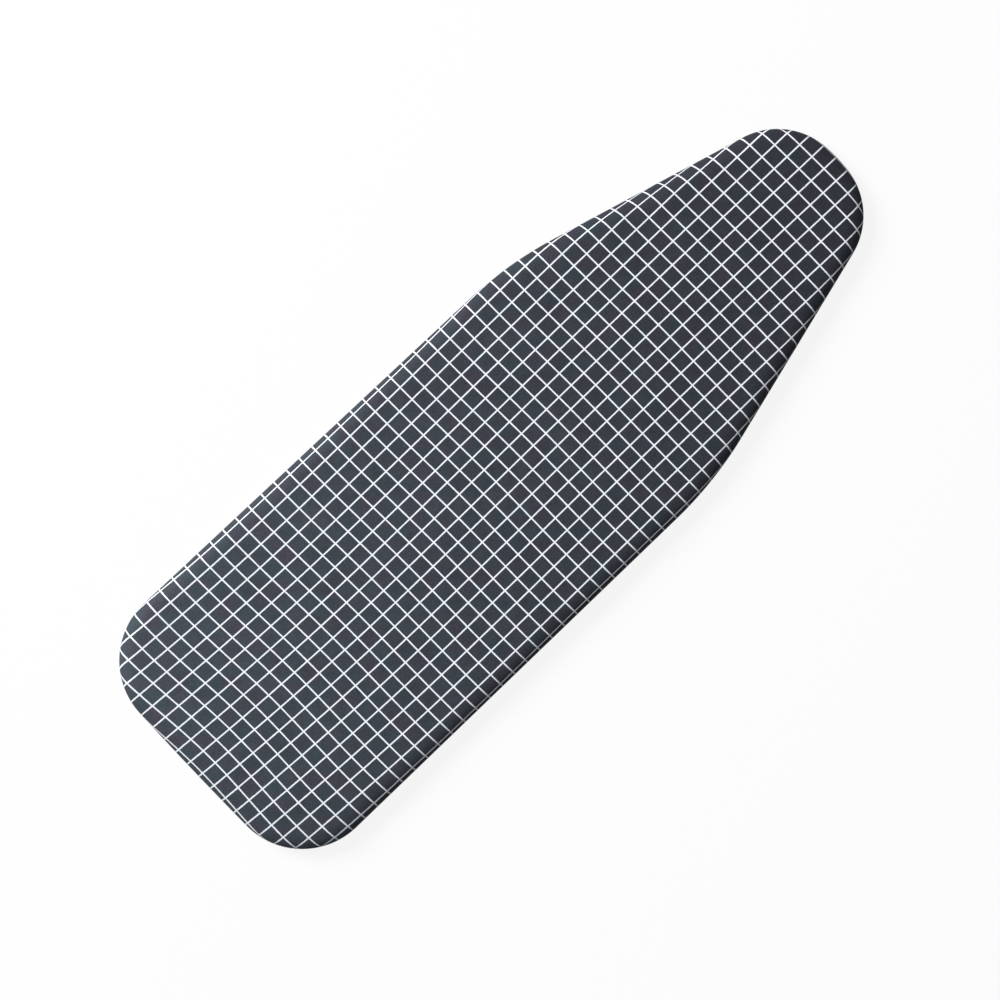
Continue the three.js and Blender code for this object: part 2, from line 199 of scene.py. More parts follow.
class PrintPattern(bpy.types.PropertyGroup):
    """Windowpane print of the cotton."""

    along: length_of("Pitch along", "Spacing of the lines that cross the board", 0.0242)
    across: length_of("Pitch across", "Spacing of the lines that run along the board", 0.0232)
    line: length_of("Line width", "Width of a printed line", 0.0021)
    yarn: length_of("Yarn", "Spacing of the weave", 0.00055)
    ground: colour_of("Ground", "Charcoal of the cotton", painted(60, 65, 71))
    cool: colour_of("Cool ground", "Cooler patches of the dye", painted(56, 65, 72))
    warm: colour_of("Warm ground", "Warmer patches of the dye", painted(63, 61, 71))
    white: colour_of("Lines", "White of the printed lines", painted(243, 248, 255))
    # Painted sheen and shade: the charcoal ground is painted paler towards the heel and the left and darker
    # towards the nose and the right, as light and sheen fall on it
    fade: FloatVectorProperty(
        name="Fade",
        description="How much paler the dye is at the heel than at the nose, and on the left than the right",
        default=(0.62, 0.24),
        size=2,
        min=0.0,
        max=1.0,
    )
    wrong_side: colour_of("Wrong side", "Inside of the cotton", painted(112, 116, 122))


class PrintPull(bpy.types.PropertyGroup):
    """How far the print is off its straight grid on the fitted cover. The edges tell how much more print
    goes over them than their arc, at the tip, nose corner, taper, shoulder, front and rear of the side,
    heel corner and heel."""

    along: pull_of("Along", "Place of the lines that cross the board", 60.7)
    stretch: pull_of("Stretch", "Stretch towards the heel and the nose", 6.0)
    slant: pull_of("Slant", "Slant of the lines that cross the board", 4.7)
    twist: pull_of("Twist", "How much of the slant goes towards the nose", -1.9)
    bow: pull_of("Bow", "Bow of the lines that cross the board", 1.9)
    heel_bow: pull_of("Heel bow", "More of that bow at the heel", 6.2)
    heel_draw: pull_of("Heel draw", "Draw at the heel", -3.6)
    nose_draw: pull_of("Nose draw", "Draw at the nose", -2.4)
    nose_slant: pull_of("Nose slant", "More of the slant at the nose", 2.0)
    across: pull_of("Across", "Place of the lines that run along the board", -0.5)
    sway: pull_of("Sway", "Wave of the lines that run along the board", -2.6)
    heel_drift: pull_of("Heel drift", "Drift of those lines at the heel", -9.4)
    nose_drift: pull_of("Nose drift", "Drift of those lines at the nose", -1.4)
    nose_pinch: pull_of("Nose pinch", "Gathering of those lines at the nose", -3.0)
    left_edge: pulls_of("Left edge", "More print over the left edge", -3, -1.4, 12, -0.8, 8, 6.3, -3.2, 0)
    right_edge: pulls_of("Right edge", "More print over the right edge", -3, 2.8, 1.6, 4.7, 8.3, 3, -1, 0)


class Finishes(bpy.types.PropertyGroup):
    """Colours of the felt, binding, cord and lock."""

    felt: colour_of("Felt", "Off-white needle felt", painted(224, 227, 231))
    # Painted shade: this darker felt colour goes into the hollows between fibres and clumps and into the
    # needle pits
    felt_shade: colour_of("Felt shade", "Fibres in the felt's hollows", painted(200, 203, 206))
    tape: colour_of("Tape", "Twill tape of the binding", painted(50, 54, 60))
    # Painted highlight: the raised ribs are painted paler than the tape between them
    tape_rib_highlight: colour_of("Tape light", "Raised ribs of the tape", painted(66, 71, 78))
    thread: colour_of("Thread", "Sewing thread", painted(84, 89, 96))
    cord: colour_of("Cord", "Braided sleeve of the drawcord", painted(36, 38, 41))
    # Painted highlight: the raised strands of the braid are painted paler than the gaps between them
    cord_strand_highlight: colour_of("Cord light", "Raised strands of the sleeve", painted(62, 65, 69))
    barrel: colour_of("Barrel", "Moulded barrel and cord end", painted(38, 40, 43))
    plunger: colour_of("Plunger", "Moulded plunger", painted(58, 61, 65))
    steel: colour_of("Steel", "Spring wire", painted(196, 199, 203))


class Studio(bpy.types.PropertyGroup):
    """Camera, lights and floor."""

    turn: angle_of("Turn", "Turn of the board in the picture", 43.5)
    aim: FloatVectorProperty(
        name="Aim",
        description="Place under the middle of the picture",
        default=(-0.0494, -0.0218),
        size=2,
        unit="LENGTH",
    )
    camera_height: length_of("Camera height", "From the floor to the camera", 3.863)
    lens: FloatProperty(name="Lens", description="Focal length", default=100.0, min=1.0, unit="CAMERA")
    key: power_of("Key light", "Power of the large soft light", 895.0)
    key_size: length_of("Key size", "Side of the large soft light", 4.0)
    key_place: FloatVectorProperty(
        name="Key place",
        description="Where the large soft light hangs",
        default=(-1.5, 6.2, 4.7),
        subtype="XYZ",
        unit="LENGTH",
    )
    under: power_of("Under light", "Power of the light below the floor", 36.0)
    under_size: length_of("Under size", "Side of the light below the floor", 1.8)
    fill: FloatProperty(name="Fill", description="Strength of the light all round", default=0.16, min=0.0)
    floor: colour_of("Floor", "Pale floor", (0.94, 0.94, 0.94))
    floor_white: FloatProperty(
        name="Floor white",
        description="Share of plain white that the camera sees on the floor",
        default=0.88,
        min=0.0,
        max=1.0,
        subtype="FACTOR",
    )


class BoardCover(bpy.types.PropertyGroup):
    """All settings of the cover."""

    shape: PointerProperty(type=CoverShape)
    hem: PointerProperty(type=HemShape)
    lock: PointerProperty(type=LockShape)
    pattern: PointerProperty(type=PrintPattern)
    pull: PointerProperty(type=PrintPull)
    finishes: PointerProperty(type=Finishes)
    studio: PointerProperty(type=Studio)


# Rows of numbers and points


def unit(angle):
    return np.stack([np.cos(angle), np.sin(angle)], axis=-1)


def soft_step(share):
    return share * share * (3 - 2 * share)


def eased(value, places, heights):
    """Heights given at places, joined by soft steps."""
    value, places, heights = (np.asarray(given, float) for given in (value, places, heights))
    index = np.clip(np.searchsorted(places, value) - 1, 0, len(places) - 2)
    share = np.clip((value - places[index]) / (places[index + 1] - places[index]), 0, 1)
    return heights[index] + soft_step(share) * (heights[index + 1] - heights[index])


def unit_rows(rows):
    """Each row of a list of vectors, brought to the length 1."""
    return rows / np.linalg.norm(rows, axis=1)[:, None]


def travelled(points):
    """Lengths along a line of points, from its first one."""
    return np.concatenate([[0.0], np.cumsum(np.linalg.norm(np.diff(points, axis=0), axis=1))])


def beside(rows, value):
    """Rows with one more column, of one value or of one for each row."""
    return np.column_stack([rows, np.broadcast_to(value, len(rows))])


def ripple(rng, count, first, last):
    """Closed noise of one ring, made of waves that go round it first to last times."""
    spectrum = np.zeros(count // 2 + 1, complex)
    spectrum[first:last] = rng.normal(size=last - first) + 1j * rng.normal(size=last - first)
    wave = np.fft.irfft(spectrum, count)
    return wave / wave.std()


def smoothed(ring, width):
    """One closed ring of values, blurred over width samples."""
    count = len(ring)
    steps = np.fft.rfftfreq(count) * count
    blur = np.exp(-2 * (math.pi * width * steps / count) ** 2)
    return np.fft.irfft(np.fft.rfft(ring) * blur, count)


# Outline, gathers and print that the cloth, felt, binding and cord share


class Arc:
    """A round stretch of the outline."""

    def __init__(self, centre, radius, start, end, fullness):
        self.centre, self.radius, self.start, self.end, self.fullness = centre, radius, start, end, fullness

    def hem_length(self, inset):
        return (self.end - self.start) * (self.radius - inset)

    def at(self, share):
        normal = unit(self.start + (self.end - self.start) * share)
        return self.centre + self.radius * normal, normal


class Straight:
    """A straight stretch of the outline, from the end of one arc to the start of the next."""

    def __init__(self, before, after, fullness):
        self.first, self.normal = before.at(1.0)
        self.last, self.fullness = after.at(0.0)[0], fullness

    def hem_length(self, inset):
        """The same at every inset."""
        return float(np.linalg.norm(self.last - self.first))

    def at(self, share):
        return self.first + (self.last - self.first) * share, self.normal


class Outline:
    """The cover's edge from above: tangent arcs and straight runs, alike on both sides."""

    # How closely the hem is gathered on each part, from 0 to 1, and from where it counts as a corner
    TIP_FULL, NOSE_FULL, SHOULDER_FULL = 0.9, 1.0, 0.3
    STRAIGHT_FULL, CORNER_FULL, HEEL_FULL = 0.12, 1.0, 0.2
    CORNER_FROM = 0.5
    # Where along each part, from the tip to the heel, the print's edges are given
    STOPS = ((0, 0.0), (1, 0.5), (2, 0.5), (3, 0.5), (4, 0.25), (4, 0.75), (5, 0.5), (6, 1.0))
    OTHER_SIDE = np.array([1.0, -1.0])

    def __init__(self, shape):
        half = shape.length / 2
        tip = np.array([half - shape.nose_tip, 0.0])
        nose_y = shape.nose_spread / 2
        nose_x = tip[0] + math.sqrt((shape.nose_tip - shape.nose_corner) ** 2 - nose_y**2)
        nose = np.array([nose_x, nose_y])
        bow = np.array([shape.heel_bow - half, 0.0])
        heel_y = shape.width / 2 - shape.heel_corner
        heel_x = bow[0] - math.sqrt((shape.heel_bow - shape.heel_corner) ** 2 - heel_y**2)
        heel = np.array([heel_x, heel_y])
        side_angle = math.pi / 2 - shape.side_taper
        side_normal = unit(side_angle)
        touch = heel + shape.heel_corner * side_normal
        bend_x = shape.shoulder_from_heel - half
        bend = np.array([bend_x, touch[1] - (bend_x - touch[0]) * math.tan(shape.side_taper)])
        to_nose = nose - bend
        taper = math.atan2(to_nose[1], to_nose[0]) + math.asin(shape.nose_corner / np.linalg.norm(to_nose))
        nose_angle = taper + math.pi / 2
        nose_normal = unit(nose_angle)
        shoulder = bend - shape.shoulder * (side_normal + nose_normal) / (1 + side_normal @ nose_normal)
        tip_angle = math.atan2(nose[1], nose[0] - tip[0])
        bow_angle = math.atan2(heel[1], heel[0] - bow[0])
        tip_arc = Arc(tip, shape.nose_tip, 0.0, tip_angle, self.TIP_FULL)
        nose_arc = Arc(nose, shape.nose_corner, tip_angle, nose_angle, self.NOSE_FULL)
        shoulder_arc = Arc(shoulder, shape.shoulder, nose_angle, side_angle, self.SHOULDER_FULL)
        heel_arc = Arc(heel, shape.heel_corner, side_angle, bow_angle, self.CORNER_FULL)
        bow_arc = Arc(bow, shape.heel_bow, bow_angle, math.pi, self.HEEL_FULL)
        taper_run = Straight(nose_arc, shoulder_arc, self.STRAIGHT_FULL)
        side_run = Straight(shoulder_arc, heel_arc, self.STRAIGHT_FULL)
        self.parts = [tip_arc, nose_arc, taper_run, shoulder_arc, side_run, heel_arc, bow_arc]
        self.lengths = [part.hem_length(shape.turn_under) for part in self.parts]
        self.starts = np.concatenate([[0.0], np.cumsum(self.lengths)])
        self.half_hem = float(self.starts[-1])

    def stops(self):
        """Runs along the hem at which the print's edges are given."""
        return np.array([self.starts[part] + share * self.lengths[part] for part, share in self.STOPS])

    def side(self, corner_step, side_step, gap=0.0):
        """Places, normals, runs along the hem and fullness of the left side, from the nose to the heel."""
        rows = []
        for part, length, start in zip(self.parts, self.lengths, self.starts):
            end = 1 - gap / 2 / length if part is self.parts[-1] else 1.0
            step = corner_step if part.fullness > self.CORNER_FROM else side_step
            steps = math.ceil(length * end / step)
            for share in np.linspace(0, end, steps + 1)[1 if rows else 0 :]:
                rows.append((*part.at(share), start + share * length, part.fullness))
        return tuple(np.array(column) for column in zip(*rows))

    def both_sides(self, corner_step, side_step, gap):
        """Places, normals and runs of the left side, each with the right side's."""
        places, normals, runs, _ = self.side(corner_step, side_step, gap)
        return (places, places * self.OTHER_SIDE), (normals, normals * self.OTHER_SIDE), (runs, -runs)

    def closed(self, corner_step, side_step):
        """Places, normals and runs all round, against the clock from the nose."""
        rows = self.both_sides(corner_step, side_step, 0.0)
        return tuple(np.concatenate([left, right[-2:0:-1]]) for left, right in rows)

    def hem(self, corner_step, side_step, gap):
        """The same from one edge of the heel's gap round the nose to the other."""
        rows = self.both_sides(corner_step, side_step, gap)
        return tuple(np.concatenate([right[:0:-1], left]) for left, right in rows)


class Gathers:
    """Folds that the drawcord pulls into the turned-under cloth, by the run along the hem."""

    SAMPLES = 1 << 15
    SEED = 11
    STEPS = (0.001, 0.002)
    # Blur of the change from corner folds to side folds, and of the valleys between the folds
    CHANGE, VALLEY = 0.014, 0.0006
    # How far folds stray from an even spacing, how their depth varies, and in how many waves
    WANDER, WANDER_WAVES = 0.17, (30, 190)
    UNEVEN, UNEVEN_WAVES, DEPTH_LIMITS = 0.24, (20, 150), (0.45, 1.15)
    # Shape of a fine fold, from rounded lobes to narrow valleys, and the lag of the coarse folds
    ROUNDNESS, LOBE_LEVEL, FINE_LIMITS, LAG = 0.85, 1.15, (-1.1, 1.0), 0.6
    # Depth of the folds, and the share of the fine ones, by the distance outward from the cord
    DEPTHS = ((0.002, 0.010, 0.018, 0.046, 0.058), (0.0, 0.52, 1.0, 0.26, 0.0))
    FINE = ((0.014, 0.044), (1.0, 0.15))

    def __init__(self, outline, hem):
        _, _, runs, fullness = outline.side(*self.STEPS)
        self.around = 2 * outline.half_hem
        cell = self.around / self.SAMPLES
        self.run = (np.arange(self.SAMPLES) + 0.5) * cell - self.around / 2
        full = smoothed(np.interp(np.abs(self.run), runs, fullness), self.CHANGE / cell)
        rng = np.random.default_rng(self.SEED)
        spacing = hem.side_fold + (hem.corner_fold - hem.side_fold) * full
        folds = np.cumsum(cell / spacing)
        folds *= 2 * round(folds[-1] / 2) / folds[-1]
        wander = self.WANDER * ripple(rng, self.SAMPLES, *self.WANDER_WAVES)
        uneven = 1 + self.UNEVEN * ripple(rng, self.SAMPLES, *self.UNEVEN_WAVES)
        depth = hem.side_depth + (hem.corner_depth - hem.side_depth) * full
        depth *= np.clip(uneven, *self.DEPTH_LIMITS)
        turn = math.pi * (folds + wander)
        fine = smoothed(2 * np.abs(np.sin(turn)) ** self.ROUNDNESS - self.LOBE_LEVEL, self.VALLEY / cell)
        self.fine = np.clip(fine, *self.FINE_LIMITS) * depth
        self.coarse = np.sin(turn + self.LAG) * depth

    def at(self, run, outward):
        """How far the cloth stands out of its smooth face, at a distance outward from the cord."""
        share = eased(outward, *self.FINE)
        fine = np.interp(run, self.run, self.fine, period=self.around)
        coarse = np.interp(run, self.run, self.coarse, period=self.around)
        return eased(outward, *self.DEPTHS) * (share * fine + (1 - share) * coarse)


def strand_offset(hem):
    """From the middle of the lock to the centre of one strand."""
    return (hem.cord + hem.strand_gap) / 2


def heel_gap(hem):
    """Between the two ends of the binding at the heel."""
    return 2 * (strand_offset(hem) + hem.cord_bend + hem.cord_lead)


class HemLine:
    """The cord's line from one end of the binding round the nose to the other, with its gathers."""

    STEPS = (0.0012, 0.0021)
    CALM_END = 0.012

    def __init__(self, shape, hem):
        outline = Outline(shape)
        self.gathers = Gathers(outline, hem)
        self.places, self.normals, self.runs = outline.hem(*self.STEPS, heel_gap(hem))
        self.middle = self.places - shape.turn_under * self.normals
        last = self.runs.max()
        self.calm = eased(np.abs(self.runs), [last - self.CALM_END, last], [1.0, 0.0])

    def plan(self, outward):
        """Places from above, at a distance outward from the cord."""
        return self.middle + np.reshape(outward, (-1, 1)) * self.normals

    def sway(self, outward):
        """How far the gathers lift the hem there."""
        return -self.gathers.at(self.runs, outward) * self.calm


def ironing_relief(places, height):
    """Slow hills and hollows of the padded top."""
    seed, waves, shortest, longest, peak = 5, 7, 0.09, 0.24, 2.5
    rng = np.random.default_rng(seed)
    total = np.zeros(len(places))
    for _ in range(waves):
        wave = unit(rng.uniform(0, math.tau)) * math.tau / rng.uniform(shortest, longest)
        total += np.sin(places @ wave + rng.uniform(0, math.tau))
    return height * total / peak


def print_places(flat, pull):
    """Places on the print's straight grid for places on the flat cut."""
    half_length, half_width, ends_from, bow_turn, bow_limit = 0.6, 0.2, 0.4, 1.9, 1.05
    x, y = flat[:, 0] / half_length, flat[:, 1] / half_width
    to_heel, to_nose = (np.clip((way * x - ends_from) / (1 - ends_from), 0, None) ** 2 for way in (-1, 1))
    bowed = np.sin(bow_turn * np.clip(y, -bow_limit, bow_limit)) ** 2
    along = pull.along + pull.stretch * x + (pull.slant + pull.twist * x + pull.nose_slant * to_nose) * y
    along += (pull.bow + pull.heel_bow * to_heel) * bowed
    along += pull.heel_draw * to_heel + pull.nose_draw * to_nose
    across = pull.across + pull.sway * np.sin(math.pi * x) + pull.heel_drift * to_heel
    across += (pull.nose_drift + pull.nose_pinch * y) * to_nose
    return flat + np.column_stack([along, across])


def edge_pull(outline, runs, pull):
    """How much more print goes over the edge than its arc, by the run along the hem."""
    left, right = (eased(np.abs(runs), outline.stops(), edge) for edge in (pull.left_edge, pull.right_edge))
    return np.where(runs >= 0, left, right)


def edge_curve(shape, depth, steps):
    """Inset and level from the flat top out over the rounded edge, at a depth below the outer face."""
    turn = np.linspace(0, math.pi / 2, steps + 1)
    inset = shape.edge_reach - (shape.edge_reach - depth) * np.sin(turn)
    level = shape.height - shape.edge_drop + (shape.edge_drop - depth) * np.cos(turn)
    return list(zip(inset, level))


# Meshes built from rows of points


def between_rows(first, second, count, closed):
    """Faces that join two rows of count points."""
    here = np.arange(count if closed else count - 1)
    after = (here + 1) % count
    return np.stack([first + here, second + here, second + after, first + after], axis=1).tolist()


def joined_rows(rows, count, closed, looped=False, first=0):
    """Faces from each row of count points to the next, and if looped from the last row to the first."""
    faces = []
    for row in range(rows if looped else rows - 1):
        faces += between_rows(first + row * count, first + (row + 1) % rows * count, count, closed)
    return faces


def filled_ring(ring, spacing, margin):
    """Points on an even grid inside a flat ring, and the triangles that fill it through them."""
    corners = zip(ring.min(axis=0), ring.max(axis=0))
    grid = np.stack(np.meshgrid(*(np.arange(a + spacing / 2, b, spacing) for a, b in corners)), axis=-1)
    grid = grid.reshape(-1, 2)
    edge = np.roll(ring, -1, axis=0) - ring
    outward = np.stack([edge[:, 1], -edge[:, 0]], axis=1) / np.linalg.norm(edge, axis=1)[:, None]
    reach = np.array([((place - ring) * outward).sum(axis=1).max() for place in grid])
    inner = grid[reach < -margin]
    points = [Vector(place) for place in np.concatenate([ring, inner])]
    border = [(k, (k + 1) % len(ring)) for k in range(len(ring))]
    places, _, triangles, sources, _, _ = geometry.delaunay_2d_cdt(points, border, [], 1, SAME_POINT)
    if len(places) != len(points):
        raise RuntimeError("the flat top's grid doesn't fit its ring")
    faces = []
    for triangle in triangles:
        a, b, c = (places[k] for k in triangle)
        face = [sources[k][0] for k in triangle]
        faces.append(face if (b - a).cross(c - a) > 0 else face[::-1])
    return inner, faces


def mesh_piece(name, points, faces, coordinates=None, map_name="flat_cut"):
    """A new object at the origin, smooth all over, with one pair of cloth coordinates for each point."""
    mesh = bpy.data.meshes.new(name)
    mesh.from_pydata(np.asarray(points).tolist(), [], faces)
    if coordinates is not None:
        corner_points = np.zeros(len(mesh.loops), np.int32)
        mesh.loops.foreach_get("vertex_index", corner_points)
        layer = mesh.uv_layers.new(name=map_name)
        layer.data.foreach_set("uv", np.asarray(coordinates)[corner_points].astype(np.float32).ravel())
    mesh.shade_smooth()
    mesh.validate()
    piece = bpy.data.objects.new(name, mesh)
    bpy.context.scene.collection.objects.link(piece)
    return piece


# Modelling by hand, operator by operator


def pick(piece):
    """Makes a piece the only selected and active one."""
    if bpy.context.mode != "OBJECT":
        bpy.ops.object.mode_set(mode="OBJECT")
    bpy.ops.object.select_all(action="DESELECT")
    piece.select_set(True)
    bpy.context.view_layer.objects.active = piece


def settle(piece):
    """Puts a piece's place, turn and size into its mesh."""
    pick(piece)
    bpy.ops.object.transform_apply(location=True, rotation=True, scale=True)


def take_up(name):
    """Names and settles the primitive that was just added."""
    piece = bpy.context.object
    piece.name = name
    settle(piece)
    return piece


def add_block(name, low, high):
    """A block between two corners."""
    low, high = Vector(low), Vector(high)
    bpy.ops.object.select_all(action="DESELECT")
    bpy.ops.mesh.primitive_cube_add(size=1, location=(low + high) / 2, scale=high - low)
    return take_up(name)


def add_rod(name, sides, radius, length, centre, turn):
    """A rod, turned from upright."""
    bpy.ops.object.select_all(action="DESELECT")
    bpy.ops.mesh.primitive_cylinder_add(
        vertices=sides, radius=radius, depth=length, location=centre, rotation=turn
    )
    return take_up(name)


def round_edges(piece, chosen, width, segments):
    """Bevels the edges for whose two ends chosen is true."""
    pick(piece)
    bpy.ops.object.mode_set(mode="EDIT")
    bpy.ops.mesh.select_mode(type="EDGE")
    bpy.ops.mesh.select_all(action="DESELECT")
    bm = bmesh.from_edit_mesh(piece.data)
    for edge in bm.edges:
        edge.select_set(bool(chosen(edge.verts[0].co, edge.verts[1].co)))
    bmesh.update_edit_mesh(piece.data)
    bpy.ops.mesh.bevel(offset=width, offset_type="OFFSET", segments=segments, affect="EDGES")
    bpy.ops.object.mode_set(mode="OBJECT")


def runs_along(axis):
    """Chooses the edges that run mostly along an axis."""
    mostly = 0.8
    return lambda a, b: abs((b - a)[axis]) > mostly * (b - a).length


def lies_at(axis, *levels):
    """Chooses the edges that lie at one of these levels of an axis."""
    return lambda a, b: any(abs(a[axis] - at) < TOUCHING and abs(b[axis] - at) < TOUCHING for at in levels)


def apply_modifier(piece, kind, **settings):
    """Adds a modifier with these settings to a piece and applies it."""
    modifier = piece.modifiers.new(kind.lower(), kind)
    for name, value in settings.items():
        setattr(modifier, name, value)
    pick(piece)
    bpy.ops.object.modifier_apply(modifier=modifier.name)


def shape_with(piece, other, operation):
    """Cuts another solid from a piece or joins it on, and removes it."""
    apply_modifier(piece, "BOOLEAN", operation=operation, solver="EXACT", object=other)
    bpy.data.objects.remove(other)


def repeat(piece, count, step):
    """Repeats a piece in a straight row."""
    apply_modifier(
        piece,
        "ARRAY",
        count=count,
        use_relative_offset=False,
        use_constant_offset=True,
        constant_offset_displace=step,
    )


def soften(piece, width):
    """Breaks the sharp edges and shades the faces smooth."""
    sharp = math.radians(35)
    apply_modifier(
        piece,
        "BEVEL",
        width=width,
        segments=2,
        limit_method="ANGLE",
        angle_limit=sharp,
        use_clamp_overlap=True,
    )
    bpy.ops.object.shade_smooth_by_angle(angle=sharp)


def face_outwards(piece, weld=False, fill=False):
    """Turns all faces outwards, after doubles are merged or open ends filled."""
    pick(piece)
    bpy.ops.object.mode_set(mode="EDIT")
    bpy.ops.mesh.select_all(action="SELECT")
    if weld:
        bpy.ops.mesh.remove_doubles(threshold=TOUCHING)
    if fill:
        bpy.ops.mesh.fill_holes(sides=0)
        bpy.ops.mesh.select_all(action="SELECT")
    bpy.ops.mesh.normals_make_consistent(inside=False)
    bpy.ops.object.mode_set(mode="OBJECT")


def add_bar(name, low, high, axis, corner, segments=5):
    """A block with its long edges along an axis rounded."""
    block = add_block(name, low, high)
    round_edges(block, runs_along(axis), corner, segments)
    return block


def strand_hole(lock, centre, shift):
    """A cutter for the hole that both strands pass, along X."""
    through = 0.012
    half = Vector((through, lock.hole_width / 2, lock.hole_height / 2))
    middle = Vector((centre.x, shift, centre.z))
    return add_bar("strand_hole", middle - half, middle + half, X, lock.hole_corner)


def cut_grip(piece, lock, start, outward, axis, half_length, step, scale=1.0):
    """Cuts a row of grip grooves with round ends into a face, along X or Y."""
    grooves, sides, end_share, end_segments = 3, 20, 0.95, 5
    radius = scale * lock.groove
    centre = Vector(start) + Vector(outward) * (radius - scale * lock.groove_depth)
    turn = (0, math.pi / 2, 0) if axis == X else (math.pi / 2, 0, 0)
    cutter = add_rod("grooves", sides, radius, 2 * half_length, centre, turn)
    ends = lies_at(axis, centre[axis] - half_length, centre[axis] + half_length)
    round_edges(cutter, ends, end_share * radius, end_segments)
    repeat(cutter, grooves, step)
    shape_with(piece, cutter, "DIFFERENCE")


# Finishes


class Nodes:
    """A node tree, built node by node."""

    def __init__(self, tree):
        self.tree = tree

    def feed(self, socket, value):
        """Links a socket to another one, or sets its number, vector or colour."""
        if isinstance(value, bpy.types.NodeSocket):
            self.tree.links.new(value, socket)
        else:
            socket.default_value = (*value, 1.0) if isinstance(value, Color) else value

    def node(self, kind, *values, **settings):
        """A node with its first inputs given as sockets or values; None leaves one as it is."""
        made = self.tree.nodes.new(kind)
        for name, value in settings.items():
            setattr(made, name, value)
        for socket, value in zip(made.inputs, values):
            if value is not None:
                self.feed(socket, value)
        return made

    def maths(self, operation, *values):
        return self.node("ShaderNodeMath", *values, operation=operation).outputs[0]

    def plus(self, first, second):
        return self.maths("ADD", first, second)

    def times(self, first, second):
        return self.maths("MULTIPLY", first, second)

    def larger(self, first, second):
        return self.maths("MAXIMUM", first, second)

    def seen(self):
        """1 for what the camera, a mirror or glass sees, and 0 for what only lights the cover."""
        rays = self.node("ShaderNodeLightPath").outputs
        mirrored = self.larger(rays["Is Glossy Ray"], rays["Is Transmission Ray"])
        return self.larger(rays["Is Camera Ray"], mirrored)

    def between(self, share, first, second):
        """A shader between two others."""
        return self.node("ShaderNodeMixShader", share, first.outputs[0], second.outputs[0])

    def show(self, shader, output):
        self.feed(self.tree.nodes[output].inputs["Surface"], shader.outputs[0])


class Finish(Nodes):
    """One material."""

    def __init__(self, name):
        self.material = bpy.data.materials.new(name)
        self.material.use_nodes = True
        super().__init__(self.material.node_tree)
        self.shader = self.tree.nodes["Principled BSDF"]

    def places(self):
        """The piece's own coordinates, in metres."""
        return self.node("ShaderNodeTexCoord").outputs["Object"]

    def mapped(self, name):
        """The piece's own map, in metres, whole and as its two coordinates."""
        lay = self.node("ShaderNodeUVMap", uv_map=name).outputs["UV"]
        first, second, _ = self.node("ShaderNodeSeparateXYZ", lay).outputs
        return lay, first, second

    def turned(self, vector, degrees):
        return self.node("ShaderNodeMapping", vector, None, (0.0, 0.0, math.radians(degrees))).outputs[0]

    def stretched(self, vector, scales):
        return self.node("ShaderNodeMapping", vector, None, None, scales).outputs[0]

    def cloudy(self, vector, scale, detail=2.0, roughness=0.5):
        """Noise from 0 to 1."""
        made = self.node("ShaderNodeTexNoise", vector)
        made.inputs["Scale"].default_value = scale
        made.inputs["Detail"].default_value = detail
        made.inputs["Roughness"].default_value = roughness
        return made.outputs[0]

    def streaky(self, vector, scales, detail=2.0, roughness=0.5):
        """Noise with a scale for each axis."""
        return self.cloudy(self.stretched(vector, scales), 1.0, detail, roughness)

    def ranged(self, value, low, high, to_low=0.0, to_high=1.0, soft=False):
        kind = "SMOOTHSTEP" if soft else "LINEAR"
        made = self.node("ShaderNodeMapRange", value, low, high, to_low, to_high, interpolation_type=kind)
        return made.outputs[0]

    def uneven(self, noise, low, high):
        """Noise, spread between two values."""
        return self.ranged(noise, 0.3, 0.7, low, high)

    def mixed(self, share, first, second, blend="MIX"):
        made = self.node("ShaderNodeMix", data_type="RGBA", blend_type=blend)
        for place, value in ((0, share), (6, first), (7, second)):
            self.feed(made.inputs[place], value)
        return made.outputs[2]

    def toned(self, colour, tone):
        """A colour, made darker or paler by a tone."""
        return self.mixed(1.0, colour, tone, "MULTIPLY")

    def bumped(self, height, depth, strength, after=None):
        """A bump of that depth in metres, on top of another one."""
        made = self.node("ShaderNodeBump")
        made.inputs["Strength"].default_value = strength
        made.inputs["Distance"].default_value = depth
        self.feed(made.inputs["Height"], height)
        if after is not None:
            self.feed(made.inputs["Normal"], after)
        return made.outputs[0]

    def shade(self, **values):
        """Sets or links the shader's inputs, named with _ for a space."""
        for name, value in values.items():
            self.feed(self.shader.inputs[name.replace("_", " ")], value)
        return self.material


def printed_lines(finish, pattern, places, full, gone, stray=None):
    """1 on the windowpane's lines, which are full and then gone at these distances from their middle."""
    lines = []
    for place, pitch in zip(places, (pattern.along, pattern.across)):
        away = finish.maths("PINGPONG", place, pitch / 2)
        if stray is not None:
            away = finish.plus(away, stray)
        lines.append(finish.ranged(away, full, gone, 1.0, 0.0, soft=True))
    return finish.larger(*lines)


def plain_weave(finish, pattern, places):
    """Bump of the yarns that cross over and under each other."""
    waves = [finish.maths("SINE", finish.times(place, math.pi / pattern.yarn)) for place in places]
    return finish.bumped(finish.times(*waves), depth=0.00004, strength=0.5)


